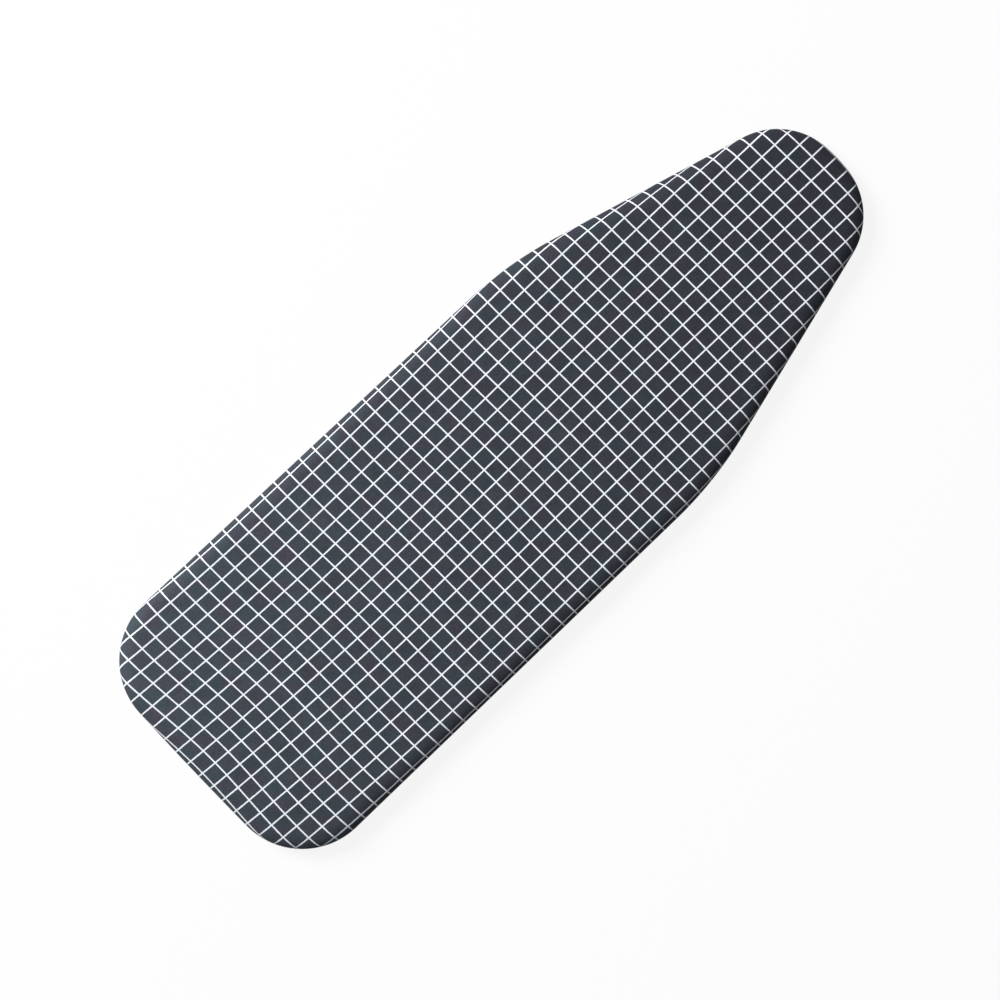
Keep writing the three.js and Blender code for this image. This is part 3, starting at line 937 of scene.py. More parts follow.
def windowpane_cotton(pattern):
    """Printed side of the cotton: white lines on charcoal, in a plain weave."""
    finish = Finish("windowpane_cotton")
    cut, along, across = finish.mapped("flat_cut")
    wobbles = []
    for scale, reach in ((160.0, 0.0007), (1900.0, 0.0005)):
        wobbles.append(finish.times(finish.plus(finish.cloudy(cut, scale), -0.5), reach))
    stray = finish.plus(*wobbles)
    half, blur = pattern.line / 2, 0.0002
    printed = printed_lines(finish, pattern, (along, across), half - blur, half + blur, stray)
    warmer_ahead = finish.times(along, 0.09)
    dye = finish.plus(finish.cloudy(cut, scale=34.0, detail=1.0), warmer_ahead)
    ground = finish.mixed(finish.ranged(dye, 0.36, 0.64), pattern.cool, pattern.warm)
    grey = finish.cloudy(finish.stretched(cut, (1.0, 1.3, 1.0)), scale=21.0, detail=1.0)
    ground = finish.mixed(finish.ranged(grey, 0.4, 0.62, 0.0, 0.6), ground, pattern.ground)
    along_yarn, across_yarn = 90.0, 2200.0
    warp = finish.streaky(cut, (along_yarn, across_yarn, 1.0), detail=1.0)
    weft = finish.streaky(cut, (across_yarn, along_yarn, 1.0), detail=1.0)
    slub = finish.ranged(finish.plus(warp, weft), 0.7, 1.3, 0.84, 1.16)
    # Painted sheen and shade: the ground grows paler towards the heel and the left and darker towards the
    # nose and the right
    heel_sheen, left_sheen = (share / 2 for share in pattern.fade)
    tone = finish.times(slub, finish.ranged(along, -0.6, 0.7, 1 + heel_sheen, 1 - heel_sheen))
    tone = finish.times(tone, finish.ranged(across, -0.2, 0.2, 1 - left_sheen, 1 + left_sheen))
    for scale, share in ((12.0, 0.06), (45.0, 0.09), (430.0, 0.2)):
        tone = finish.times(tone, finish.uneven(finish.cloudy(cut, scale), 1 - share, 1 + share))
    woven = plain_weave(finish, pattern, (along, across))
    slack = finish.cloudy(cut, scale=26.0, detail=3.0)
    return finish.shade(
        Base_Color=finish.mixed(printed, finish.toned(ground, tone), pattern.white),
        Roughness=finish.ranged(slub, 0.84, 1.16, 0.56, 0.68),
        Normal=finish.bumped(slack, depth=0.0006, strength=0.12, after=woven),
        Specular_IOR_Level=0.05,
        Sheen_Weight=0.02,
        Sheen_Roughness=0.5,
    )


def cotton_wrong_side(pattern):
    """Unprinted side of the cotton, where the print only shows through."""
    finish = Finish("cotton_wrong_side")
    cut, along, across = finish.mapped("flat_cut")
    full, gone, showing = 0.3 * pattern.line, 0.8 * pattern.line, 0.5
    lines = printed_lines(finish, pattern, (along, across), full, gone)
    fleck = finish.uneven(finish.cloudy(cut, scale=420.0, detail=4.0), 0.86, 1.1)
    ground = finish.toned(pattern.wrong_side, fleck)
    return finish.shade(
        Base_Color=finish.mixed(finish.times(lines, showing), ground, pattern.white),
        Roughness=0.9,
        Normal=plain_weave(finish, pattern, (along, across)),
        Specular_IOR_Level=0.2,
    )


def needle_felt(finishes):
    """Off-white felt with a short nap, loose fibres and needle marks."""
    finish = Finish("needle_felt")
    place = finish.places()
    nap = finish.cloudy(place, scale=1300.0, detail=5.0, roughness=0.7)
    clumps = finish.cloudy(place, scale=60.0, detail=3.0, roughness=0.55)
    fibres = 0.0
    for degrees in (12.0, 71.0, 133.0):
        combed = finish.turned(place, degrees)
        fibres = finish.larger(fibres, finish.streaky(combed, (300.0, 2400.0, 1200.0), roughness=0.6))
    marks = finish.node("ShaderNodeTexVoronoi", finish.stretched(place, (400.0, 620.0, 400.0)), feature="F1")
    marks.inputs["Scale"].default_value = 1.0
    marks.inputs["Randomness"].default_value = 0.7
    pits = finish.ranged(marks.outputs[0], 0.06, 0.36, soft=True)
    # Painted shade: the darker felt colour fills the hollows between fibres and clumps and the needle pits
    fleck = finish.plus(finish.times(fibres, 0.8), finish.times(clumps, 0.2))
    share = finish.times(finish.ranged(fleck, 0.42, 0.66), finish.ranged(pits, 0.0, 1.0, 0.6, 1.0))
    normal = None
    for height, depth, strength in (
        (pits, 0.0003, 0.4),
        (nap, 0.0004, 0.5),
        (fibres, 0.0004, 0.6),
        (clumps, 0.0008, 0.15),
    ):
        normal = finish.bumped(height, depth, strength, normal)
    return finish.shade(
        Base_Color=finish.mixed(share, finishes.felt_shade, finishes.felt),
        Roughness=0.96,
        Normal=normal,
        Specular_IOR_Level=0.15,
        Sheen_Weight=0.25,
        Sheen_Roughness=0.6,
    )


def twill_tape(finishes):
    """Dark woven tape with slanting ribs."""
    finish = Finish("twill_tape")
    lay, run, girth = finish.mapped("tape")
    rib_spacing, rib_slant = 0.00085, 0.9
    slant = finish.plus(run, finish.times(girth, rib_slant))
    rib = finish.ranged(finish.maths("SINE", finish.times(slant, math.tau / rib_spacing)), -1.0, 1.0)
    weft = finish.streaky(lay, (2600.0, 500.0, 1.0))
    worn = finish.cloudy(lay, scale=70.0, detail=3.0)
    ribbed = finish.bumped(rib, depth=0.00012, strength=0.6)
    # Painted highlight and shade: raised ribs get the paler colour and the valleys the darker one, made
    # uneven at random by the weft
    share = finish.times(rib, finish.uneven(weft, 0.4, 1.0))
    colour = finish.mixed(share, finishes.tape, finishes.tape_rib_highlight)
    return finish.shade(
        Base_Color=finish.toned(colour, finish.uneven(worn, 0.86, 1.14)),
        Roughness=finish.ranged(share, 0.0, 1.0, 0.9, 0.74),
        Normal=finish.bumped(worn, depth=0.0007, strength=0.25, after=ribbed),
        Specular_IOR_Level=0.3,
        Sheen_Weight=0.1,
    )


def sewing_thread(finishes):
    """Twisted polyester thread."""
    finish = Finish("sewing_thread")
    twist = finish.streaky(finish.places(), (2600.0, 2600.0, 900.0), detail=1.0)
    return finish.shade(
        Base_Color=finish.toned(finishes.thread, finish.uneven(twist, 0.75, 1.15)),
        Roughness=0.55,
        Normal=finish.bumped(twist, depth=0.0001, strength=0.5),
        Specular_IOR_Level=0.4,
        Sheen_Weight=0.1,
    )


def braided_sleeve(finishes):
    """Elastic cord's sleeve: strands that cross over and under at a slant."""
    finish = Finish("braided_sleeve")
    lay, run, girth = finish.mapped("sleeve")
    crossing_length, crossing_girth = 0.0016, 0.00157
    waves = []
    for way in (1.0, -1.0):
        forward = finish.times(run, math.tau / crossing_length)
        slant = finish.plus(forward, finish.times(girth, way * math.tau / crossing_girth))
        waves.append(finish.maths("SINE", slant))
    crossing = finish.ranged(finish.times(*waves), -0.8, 0.8)
    strand = finish.streaky(lay, (900.0, 5200.0, 1.0), detail=1.0)
    # Painted highlight and shade: raised strands get the paler colour and the gaps the darker one, made
    # uneven at random along the strands
    share = finish.times(crossing, finish.uneven(strand, 0.5, 1.0))
    return finish.shade(
        Base_Color=finish.mixed(share, finishes.cord, finishes.cord_strand_highlight),
        Roughness=finish.ranged(share, 0.0, 1.0, 0.8, 0.55),
        Normal=finish.bumped(crossing, depth=0.00025, strength=0.8),
        Specular_IOR_Level=0.35,
        Sheen_Weight=0.1,
    )


def moulded_plastic(name, colour):
    """Plastic with a fine spark-eroded texture and faint handling marks."""
    finish = Finish(name)
    place = finish.places()
    grain = finish.cloudy(place, scale=5200.0, detail=3.0, roughness=0.6)
    flow = finish.cloudy(place, scale=240.0, detail=3.0)
    rubbed = finish.streaky(place, (300.0, 2200.0, 700.0))
    cloud = finish.ranged(finish.plus(flow, rubbed), 0.7, 1.3, 0.86, 1.14)
    return finish.shade(
        Base_Color=finish.toned(colour, cloud),
        Roughness=finish.uneven(rubbed, 0.38, 0.56),
        Normal=finish.bumped(grain, depth=0.00006, strength=0.35),
        Specular_IOR_Level=0.5,
    )


def spring_steel(finishes):
    """Drawn wire with fine lengthwise marks."""
    finish = Finish("spring_steel")
    drawn = finish.streaky(finish.places(), (900.0, 7000.0, 900.0))
    return finish.shade(
        Base_Color=finish.toned(finishes.steel, finish.uneven(drawn, 0.8, 1.05)),
        Metallic=1.0,
        Roughness=finish.uneven(drawn, 0.22, 0.4),
    )


def fit_to_frame(piece, body, slot, *nodes):
    """Lets a piece ride on its body in place of the solids it stands for."""
    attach(piece, body)
    if nodes:
        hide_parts(*nodes)


# Operators


class BOARDCOVER_OT_stage(bpy.types.Operator):
    """Sets up the camera above the board, the soft lights and the pale floor"""

    bl_idname = "board_cover.stage"
    bl_label = "Stage"
    SENSOR_WIDTH = 36.0
    FLOOR_SIZE, FLOOR_LEVEL = 60.0, -0.0003

    def execute(self, context):
        studio = context.scene.board_cover.studio
        bpy.ops.object.select_all(action="DESELECT")
        bpy.ops.object.camera_add(
            location=(studio.aim[0], studio.aim[1], studio.camera_height), rotation=(0, 0, -studio.turn)
        )
        camera = context.object
        camera.name = "camera_above"
        camera.data.lens = studio.lens
        camera.data.sensor_width = self.SENSOR_WIDTH
        context.scene.camera = camera
        self.add_lights(studio)
        self.add_floor(studio)
        self.light_world(context, studio)
        context.scene.view_settings.view_transform = "Standard"
        return {"FINISHED"}

    def add_lights(self, studio):
        for name, power, size, place in (
            ("key_light", studio.key, studio.key_size, Vector(studio.key_place)),
            ("under_light", studio.under, studio.under_size, Vector((0, 0, -studio.under_size))),
        ):
            bpy.ops.object.light_add(type="AREA", location=place)
            lamp = bpy.context.object
            lamp.name = name
            lamp.data.energy = power
            lamp.data.size = size
            lamp.rotation_euler = (-place).to_track_quat("-Z", "Y").to_euler()
            lamp.visible_camera = False

    def add_floor(self, studio):
        """A pale floor for what is seen from above, which lets light through to the underside."""
        bpy.ops.object.select_all(action="DESELECT")
        bpy.ops.mesh.primitive_plane_add(size=self.FLOOR_SIZE, location=(0, 0, self.FLOOR_LEVEL))
        floor = take_up("floor")
        finish = Finish("pale_floor")
        finish.shade(Base_Color=studio.floor, Roughness=0.9, Specular_IOR_Level=0.1)
        white = finish.node("ShaderNodeEmission", WHITE, 1.0)
        clear = finish.node("ShaderNodeBsdfTransparent")
        from_below = finish.node("ShaderNodeNewGeometry").outputs["Backfacing"]
        seen = finish.times(finish.seen(), finish.maths("SUBTRACT", 1.0, from_below))
        pale = finish.between(studio.floor_white, finish.shader, white)
        finish.show(finish.between(seen, clear, pale), "Material Output")
        floor.data.materials.append(finish.material)

    def light_world(self, context, studio):
        """Dim light from all round, and plain white for what the camera sees."""
        world = bpy.data.worlds.new("pale_room")
        context.scene.world = world
        world.use_nodes = True
        nodes = Nodes(world.node_tree)
        fill = nodes.tree.nodes["Background"]
        nodes.feed(fill.inputs["Color"], WHITE)
        nodes.feed(fill.inputs["Strength"], studio.fill)
        white = nodes.node("ShaderNodeBackground", WHITE, 1.0)
        nodes.show(nodes.between(nodes.seen(), fill, white), "World Output")


class BOARDCOVER_OT_drawcord(bpy.types.Operator):
    """Lays the elastic drawcord through the hem, round its bends and through the lock"""

    bl_idname = "board_cover.drawcord"
    bl_label = "Drawcord"
    SIDES = 14
    HEM_STEPS = (0.002, 0.004)
    BEND_STEPS, STRAND_STEPS, LEAD_STEPS = 12, 25, 3
    END_GAP = 0.0003

    def execute(self, context):
        cover = context.scene.board_cover
        hem = cover.hem
        path = self.route(cover.shape, hem, cover.lock)
        along = unit_rows(np.gradient(path, axis=0))
        side = unit_rows(np.cross(along, [0.0, 0.0, 1.0]))
        up = np.cross(side, along)
        run = travelled(path)
        turn = np.linspace(0, math.tau, self.SIDES + 1)
        ring = np.cos(turn)[None, :, None] * side[:, None] + np.sin(turn)[None, :, None] * up[:, None]
        points = (path[:, None] + hem.cord / 2 * ring).reshape(-1, 3)
        lay = np.stack(np.broadcast_arrays(run[:, None], turn[None] * hem.cord / 2), axis=-1).reshape(-1, 2)
        faces = joined_rows(len(path), len(turn), closed=False)
        last = (len(path) - 1) * len(turn)
        faces.append(list(range(self.SIDES))[::-1])
        faces.append(list(range(last, last + self.SIDES)))
        cord = mesh_piece("elastic_drawcord", points, faces, lay, "sleeve")
        face_outwards(cord, weld=True)
        cord.data.materials.append(braided_sleeve(cover.finishes))
        fit_to_frame(cord, "cover", "elastic_cord", "drawcord")
        return {"FINISHED"}

    def route(self, shape, hem, lock):
        """Points down the middle of the cord, from one end in the cord end to the other."""
        offset = strand_offset(hem)
        places, normals, _ = Outline(shape).hem(*self.HEM_STEPS, heel_gap(hem))
        middle = beside(places - shape.turn_under * normals, hem.cord_level)
        strand_level = (BARREL_LOW.z + BARREL_HIGH.z) / 2
        strand_start = -shape.length / 2 + shape.turn_under + hem.cord_bend
        strand_end = CORD_END_HIGH.x - lock.end_floor - self.END_GAP
        straight = np.linspace(strand_end, strand_start, self.STRAND_STEPS + 1)[:-1]
        strand = beside(beside(straight, offset), strand_level)
        turn = np.linspace(0, math.pi / 2, self.BEND_STEPS + 1)
        bend = np.column_stack(
            [
                strand_start - hem.cord_bend * np.sin(turn),
                offset + hem.cord_bend * (1 - np.cos(turn)),
                strand_level + (hem.cord_level - strand_level) * soft_step(turn / (math.pi / 2)),
            ]
        )
        left = np.concatenate([strand, bend])
        right = left * [1.0, -1.0, 1.0]
        lead = np.linspace(right[-1], middle[0], self.LEAD_STEPS + 1)[1:-1]
        tail = np.linspace(middle[-1], left[-1], self.LEAD_STEPS + 1)[1:-1]
        return np.concatenate([right, lead, middle, tail, left[::-1]])


class BOARDCOVER_OT_cloth(bpy.types.Operator):
    """Fits the printed cotton over the pad and gathers it under the board"""

    bl_idname = "board_cover.cloth"
    bl_label = "Printed Cloth"
    STEPS = (0.0011, 0.0024)
    TOP_GRID, TOP_MARGIN = 0.012, 0.008
    EDGE_STEPS, RIM_STEPS, UNDER_STEPS, SEAM_STEPS = 11, 6, 10, 5
    # How far before the seam the cloth is level, and how far below the cord's centre it lies there
    SEAM_LEAD, SEAM_DROP = 0.006, 0.00035

    def execute(self, context):
        cover = context.scene.board_cover
        shape, hem = cover.shape, cover.hem
        outline = Outline(shape)
        places, normals, runs = outline.closed(*self.STEPS)
        count = len(places)
        section = self.section(shape, hem)
        length = travelled(section)
        slope = unit_rows(np.gradient(section, axis=0))
        gathers = Gathers(outline, hem)
        more_print = edge_pull(outline, runs, cover.pull)
        points, flat = [], []
        for (inset, level), (inwards, rise), way in zip(section, slope, length):
            # The outer face looks outwards by the section's fall and upwards by its way out
            stand = self.stand(shape, gathers, runs, inset, level)
            plan = places - inset * normals + (stand * -rise)[:, None] * normals
            points.append(beside(plan, level + stand * -inwards))
            on_edge = level > shape.height - shape.edge_drop
            over_edge = (1 - inset / shape.edge_reach) ** 2 if on_edge else 1.0
            flat.append(places + (way - shape.edge_reach + over_edge * more_print)[:, None] * normals)
        inner, top_faces = filled_ring(points[0][:, :2], self.TOP_GRID, self.TOP_MARGIN)
        points.append(beside(inner, shape.height + ironing_relief(inner, shape.relief)))
        flat.append(inner)
        faces = joined_rows(len(section), count, closed=True)
        before_inner = (len(section) - 1) * count
        faces += [[k if k < count else k + before_inner for k in face] for face in top_faces]
        on_print = print_places(np.concatenate(flat), cover.pull)
        cloth = mesh_piece("printed_cloth", np.concatenate(points), faces, on_print)
        cloth.data.materials.append(windowpane_cotton(cover.pattern))
        cloth.data.materials.append(cotton_wrong_side(cover.pattern))
        apply_modifier(
            cloth,
            "SOLIDIFY",
            thickness=shape.cloth,
            offset=-1.0,
            material_offset=1,
            material_offset_rim=1,
        )
        fit_to_frame(cloth, "cover", "cover_cotton", "cover_cloth")
        return {"FINISHED"}

    def section(self, shape, hem):
        """Inset and level of the outer face, from the flat top to the raw edge in the binding."""
        rows = edge_curve(shape, 0.0, self.EDGE_STEPS)
        rim_top = shape.rim_level + shape.rim
        rows.append((0.0, (shape.height - shape.edge_drop + rim_top) / 2))
        turn = np.linspace(0, math.pi / 2, self.RIM_STEPS + 1)
        rows += list(zip(shape.rim - shape.rim * np.cos(turn), rim_top - shape.rim * np.sin(turn)))
        before_seam = shape.turn_under - hem.seam_width - self.SEAM_LEAD
        raw_edge = shape.turn_under - hem.cloth_end
        lower = hem.cord_level - self.SEAM_DROP
        for share in np.linspace(0, 1, self.UNDER_STEPS + 1)[1:]:
            inset = shape.rim + (before_seam - shape.rim) * share
            rows.append((inset, shape.rim_level + (lower - shape.rim_level) * share))
        for share in np.linspace(0, 1, self.SEAM_STEPS + 1)[1:]:
            rows.append((before_seam + (raw_edge - before_seam) * share, lower))
        return np.array(rows)

    def stand(self, shape, gathers, runs, inset, level):
        """How far the gathers stand out of the section: not at all above the rim, whole below it."""
        down = shape.rim_level + shape.rim - level
        if down <= 0:
            return np.zeros(len(runs))
        stand = gathers.at(runs, shape.turn_under - inset)
        if inset < shape.rim:
            stand *= eased(down, [0.0, shape.rim], [0.0, 1.0])
        return stand


class BOARDCOVER_OT_felt(bpy.types.Operator):
    """Lays the felt pad under the cloth, with its margin over the board's edge"""

    bl_idname = "board_cover.felt"
    bl_label = "Felt Pad"
    STEPS = (0.004, 0.008)
    EDGE_STEPS = 9
    FACE_GRID, FACE_MARGIN = 0.016, 0.008
    # Places across the cut edge, how far it bulges and how uneven it is
    CUT_PLACES, BULGE, LUMPS, LUMP_SEED = (0.12, 0.35, 0.65, 0.88), 0.0006, 0.00012, 3

    def execute(self, context):
        cover = context.scene.board_cover
        shape = cover.shape
        places, normals, _ = Outline(shape).closed(*self.STEPS)
        count = len(places)
        outer = edge_curve(shape, shape.felt_gap, self.EDGE_STEPS)
        inner = edge_curve(shape, shape.felt_gap + shape.felt, self.EDGE_STEPS)[::-1]
        level = shape.height - shape.edge_drop
        cut_edge = [
            (shape.felt_gap + shape.felt * share, level - self.BULGE * math.sin(math.pi * share))
            for share in self.CUT_PLACES
        ]
        section = outer + cut_edge + inner
        rng = np.random.default_rng(self.LUMP_SEED)
        points = []
        for inset, height in section:
            lumps = self.LUMPS * rng.normal(size=count) if (inset, height) in cut_edge else 0.0
            points.append(beside(places - inset * normals, height + lumps))
        faces = joined_rows(len(section), count, closed=True)
        for row, facing_up in ((0, True), (len(section) - 1, False)):
            grid, fill = filled_ring(points[row][:, :2], self.FACE_GRID, self.FACE_MARGIN)
            first = sum(len(block) for block in points)
            points.append(beside(grid, section[row][1] + ironing_relief(grid, shape.relief)))
            for face in fill:
                face = [row * count + k if k < count else k - count + first for k in face]
                faces.append(face if facing_up else face[::-1])
        felt = mesh_piece("pad_felt", np.concatenate(points), faces)
        felt.data.materials.append(needle_felt(cover.finishes))
        fit_to_frame(felt, "cover", "needle_felt", "felt_pad")
        return {"FINISHED"}


class BOARDCOVER_OT_binding(bpy.types.Operator):
    """Folds the tape round the cloth's raw edge and the drawcord"""

    bl_idname = "board_cover.binding"
    bl_label = "Hem Binding"
    # Section of the folded tape, outward from the cord and up: the lips, the neck and the slot between them
    LIP_BENDS, LIP_SAG = (0.0085, 0.0066), 0.00005
    NECK = ((0.0050, -0.0017), (0.0038, -0.0021))
    LIP_NOSE, SLOT_BENDS, SLOT_END = 0.0003, (0.007, 0.0042), 0.0039
    # The roll round the cord, from this angle on, and the tunnel in it
    ROLL_DEGREES, ROLL_POINTS, TUNNEL_SIDES = -58, 15, 12
    # How the tape scrunches up round the cord, and how far out
    SAMPLES, SCRUNCH_SEED, SCRUNCH_WAVES, SCRUNCH_REACH = 1 << 14, 23, (240, 620), 0.0026
    PINCH, PINCH_LOBES, SHRINK, SHRINK_LIMIT = 0.0001, 3, 0.022, 2.2
    # Where the tunnel's wall lies on the tape's map
    TUNNEL_LAY = 0.02
    CREASE = math.radians(55)

    def execute(self, context):
        cover = context.scene.board_cover
        hem = cover.hem
        line = HemLine(cover.shape, hem)
        contour = self.contour(hem)
        tunnel = hem.tunnel * unit(np.linspace(math.tau, 0, self.TUNNEL_SIDES + 1)[:-1])
        scrunch = self.scrunch(line)
        points, lay = [], []
        for (out, up), girth in zip(contour, travelled(contour)):
            here = scrunch if out < self.SCRUNCH_REACH else np.zeros(len(scrunch))
            pinch = self.PINCH * here * math.cos(self.PINCH_LOBES * math.atan2(up, -out))
            swell = 1 - np.clip(np.abs(here), 0, self.SHRINK_LIMIT) * self.SHRINK
            height = np.maximum(hem.cord_level + up * swell + line.sway(out), 0.0)
            points.append(beside(line.plan(out * swell + pinch), height))
            lay.append(beside(line.runs, girth))
        for out, up in tunnel:
            points.append(beside(line.plan(out), hem.cord_level + up))
            lay.append(beside(line.runs, self.TUNNEL_LAY + up))
        count, rows = len(line.runs), len(contour)
        faces = joined_rows(rows, count, closed=False, looped=True)
        faces += joined_rows(len(tunnel), count, closed=False, looped=True, first=rows * count)
        rings = [[Vector((*place, 0)) for place in ring] for ring in (contour, tunnel)]
        for end in (0, count - 1):
            faces += [[k * count + end for k in face] for face in geometry.tessellate_polygon(rings)]
        binding = mesh_piece("bound_hem", np.concatenate(points), faces, np.concatenate(lay), "tape")
        face_outwards(binding)
        bpy.ops.object.shade_smooth_by_angle(angle=self.CREASE)
        binding.data.materials.append(twill_tape(cover.finishes))
        fit_to_frame(binding, "cover", "binding_tape", "hem_binding")
        return {"FINISHED"}

    def contour(self, hem):
        """Outer face of the folded tape, from the lower lip round the cord and into the slot."""
        near, far = self.LIP_BENDS
        lower = [(hem.seam_width, -hem.lip), (near, -hem.lip), (far, -hem.lip - self.LIP_SAG), *self.NECK]
        turn = np.radians(np.linspace(self.ROLL_DEGREES, -360 - self.ROLL_DEGREES, self.ROLL_POINTS))
        roll = hem.roll * unit(turn)
        slot = [(hem.seam_width + self.LIP_NOSE, 0.5 * (hem.lip + hem.slot)), (hem.seam_width, hem.slot)]
        slot += [(out, hem.slot) for out in self.SLOT_BENDS]
        upper, slot_below = ([(out, -up) for out, up in row[::-1]] for row in (lower, slot))
        return np.array([*lower, *roll, *upper, *slot, (self.SLOT_END, 0.0), *slot_below])

    def scrunch(self, line):
        """How much the tape is scrunched up along the hem, to either side of 0."""
        rng = np.random.default_rng(self.SCRUNCH_SEED)
        wave = ripple(rng, self.SAMPLES, *self.SCRUNCH_WAVES)
        last = line.runs.max()
        return np.interp(line.runs, np.linspace(-last, last, self.SAMPLES), wave) * line.calm


class BOARDCOVER_OT_stitches(bpy.types.Operator):
    """Sews the binding's seam and the bar tacks at its two ends"""

    bl_idname = "board_cover.stitches"
    bl_label = "Seam and Bar Tacks"
    THREAD_SIDES = 6
    # A stitch's share of its pitch, where it bends and where its ends dip, and how deep in thread widths
    STITCH_SHARE, STITCH_BENDS, STITCH_ENDS, DIP = 0.82, (0.3, 0.7), (0.2, 0.8), 0.75
    # A tack's inner end outward from the cord and up, its outer end and its distance from the binding's end
    TACK_INNER, TACK_OUTER, TACK_INSET = (0.0034, -0.0019), 0.0097, 0.0012
    # Pitch of a tack's threads and how far they sink in, in thread widths
    TACK_PITCH, TACK_SINK = 1.05, 0.2
    CREASE = math.radians(70)

    def execute(self, context):
        cover = context.scene.board_cover
        hem = cover.hem
        thread = sewing_thread(cover.finishes)
        line = HemLine(cover.shape, hem)
        height = hem.cord_level - hem.lip + line.sway(hem.seam_line)
        seam = self.add_stitch("seam_stitches", hem)
        self.repeat_along(seam, beside(line.plan(hem.seam_line), height), hem.stitch)
        pieces = [seam]
        for name, end in (("bar_tack_right", 0), ("bar_tack_left", -1)):
            pieces.append(self.add_tack(name, cover, line.places[end], line.normals[end]))
        for piece in pieces:
            piece.data.materials.append(thread)
            fit_to_frame(piece, "cover", "binding_tape")
        return {"FINISHED"}

    def add_stitch(self, name, hem):
        """One stitch along X: a thread that rises out of the tape and dips into it again."""
        length, middle, turn = hem.stitch * self.STITCH_SHARE, (hem.stitch / 2, 0, 0), (0, math.pi / 2, 0)
        stitch = add_rod(name, self.THREAD_SIDES, hem.thread / 2, length, middle, turn)
        bpy.ops.object.mode_set(mode="EDIT")
        for share in self.STITCH_BENDS:
            bpy.ops.mesh.select_all(action="SELECT")
            bpy.ops.mesh.bisect(plane_co=(hem.stitch * share, 0, 0), plane_no=(1, 0, 0))
        bpy.ops.mesh.select_mode(type="VERT")
        bpy.ops.mesh.select_all(action="DESELECT")
        first, last = (share * hem.stitch for share in self.STITCH_ENDS)
        bm = bmesh.from_edit_mesh(stitch.data)
        for vert in bm.verts:
            vert.select_set(not first < vert.co.x < last)
        bmesh.update_edit_mesh(stitch.data)
        bpy.ops.transform.translate(value=(0, 0, hem.thread * self.DIP))
        bpy.ops.object.mode_set(mode="OBJECT")
        bpy.ops.object.shade_smooth()
        return stitch

    def repeat_along(self, stitch, line, pitch):
        """Repeats the stitch in a row and bends the row along a line."""
        curve = bpy.data.curves.new("seam_line", "CURVE")
        curve.dimensions = "3D"
        curve.twist_mode = "Z_UP"
        spline = curve.splines.new("POLY")
        spline.points.add(len(line) - 1)
        spline.points.foreach_set("co", beside(line, 1.0).astype(np.float32).ravel())
        guide = bpy.data.objects.new("seam_line", curve)
        bpy.context.scene.collection.objects.link(guide)
        repeat(stitch, int(travelled(line)[-1] / pitch), (pitch, 0, 0))
        apply_modifier(stitch, "CURVE", object=guide, deform_axis="POS_X")
        bpy.data.objects.remove(guide)

    def add_tack(self, name, cover, place, normal):
        """Close threads across the lips, just inside one end of the binding."""
        hem = cover.hem
        side = 1.0 if place[1] > 0 else -1.0
        inner = np.array(self.TACK_INNER)
        outer = np.array([self.TACK_OUTER, -hem.lip])
        length = float(np.hypot(*(outer - inner)))
        tilt = math.atan2(outer[1] - inner[1], outer[0] - inner[0])
        middle = (inner + outer) / 2
        x = place[0] - (cover.shape.turn_under - middle[0]) * normal[0]
        z = hem.cord_level + middle[1] - hem.thread * self.TACK_SINK
        centre = (x, place[1] + side * self.TACK_INSET, z)
        tack = add_rod(name, self.THREAD_SIDES, hem.thread / 2, length, centre, (0, math.pi / 2 + tilt, 0))
        repeat(tack, hem.tack_threads, (0, side * hem.thread * self.TACK_PITCH, 0))
        bpy.ops.object.shade_smooth_by_angle(angle=self.CREASE)
        return tack


class BOARDCOVER_OT_barrel(bpy.types.Operator):
    """Moulds the barrel of the cord lock"""

    bl_idname = "board_cover.barrel"
    bl_label = "Lock Barrel"
    STEM_CLEARANCE = 0.0003
    MOUTH = 0.002
    GRIP_FROM, GRIP_HALF, GRIP_STEP = 0.0022, 0.0036, (0, 0.0019, 0)
    BROKEN_EDGE = 0.00016

    def execute(self, context):
        cover = context.scene.board_cover
        lock = cover.lock
        low, high = BARREL_LOW, BARREL_HIGH
        centre = (low + high) / 2
        barrel = add_bar("barrel", low, high, Y, lock.corner, segments=6)
        round_edges(barrel, lies_at(Y, low.y, high.y), lock.ease, segments=3)
        half_width = (high.x - low.x) / 2 - lock.wall
        half_height = lock.stem_thickness / 2 + self.STEM_CLEARANCE
        cavity = add_bar(
            "cavity",
            (centre.x - half_width, low.y + lock.floor, centre.z - half_height),
            (centre.x + half_width, high.y + self.MOUTH, centre.z + half_height),
            Y,
            lock.hole_corner,
        )
        shape_with(barrel, cavity, "DIFFERENCE")
        shape_with(barrel, strand_hole(lock, centre, -lock.travel / 2), "DIFFERENCE")
        for level, up in ((low.z, -1), (high.z, 1)):
            start = (centre.x, low.y + self.GRIP_FROM, level)
            cut_grip(barrel, lock, start, (0, 0, up), X, self.GRIP_HALF, self.GRIP_STEP)
        soften(barrel, self.BROKEN_EDGE)
        barrel.data.materials.append(moulded_plastic("barrel_plastic", cover.finishes.barrel))
        fit_to_frame(barrel, "cord_lock", "lock_plastic", "lock_barrel")
        return {"FINISHED"}


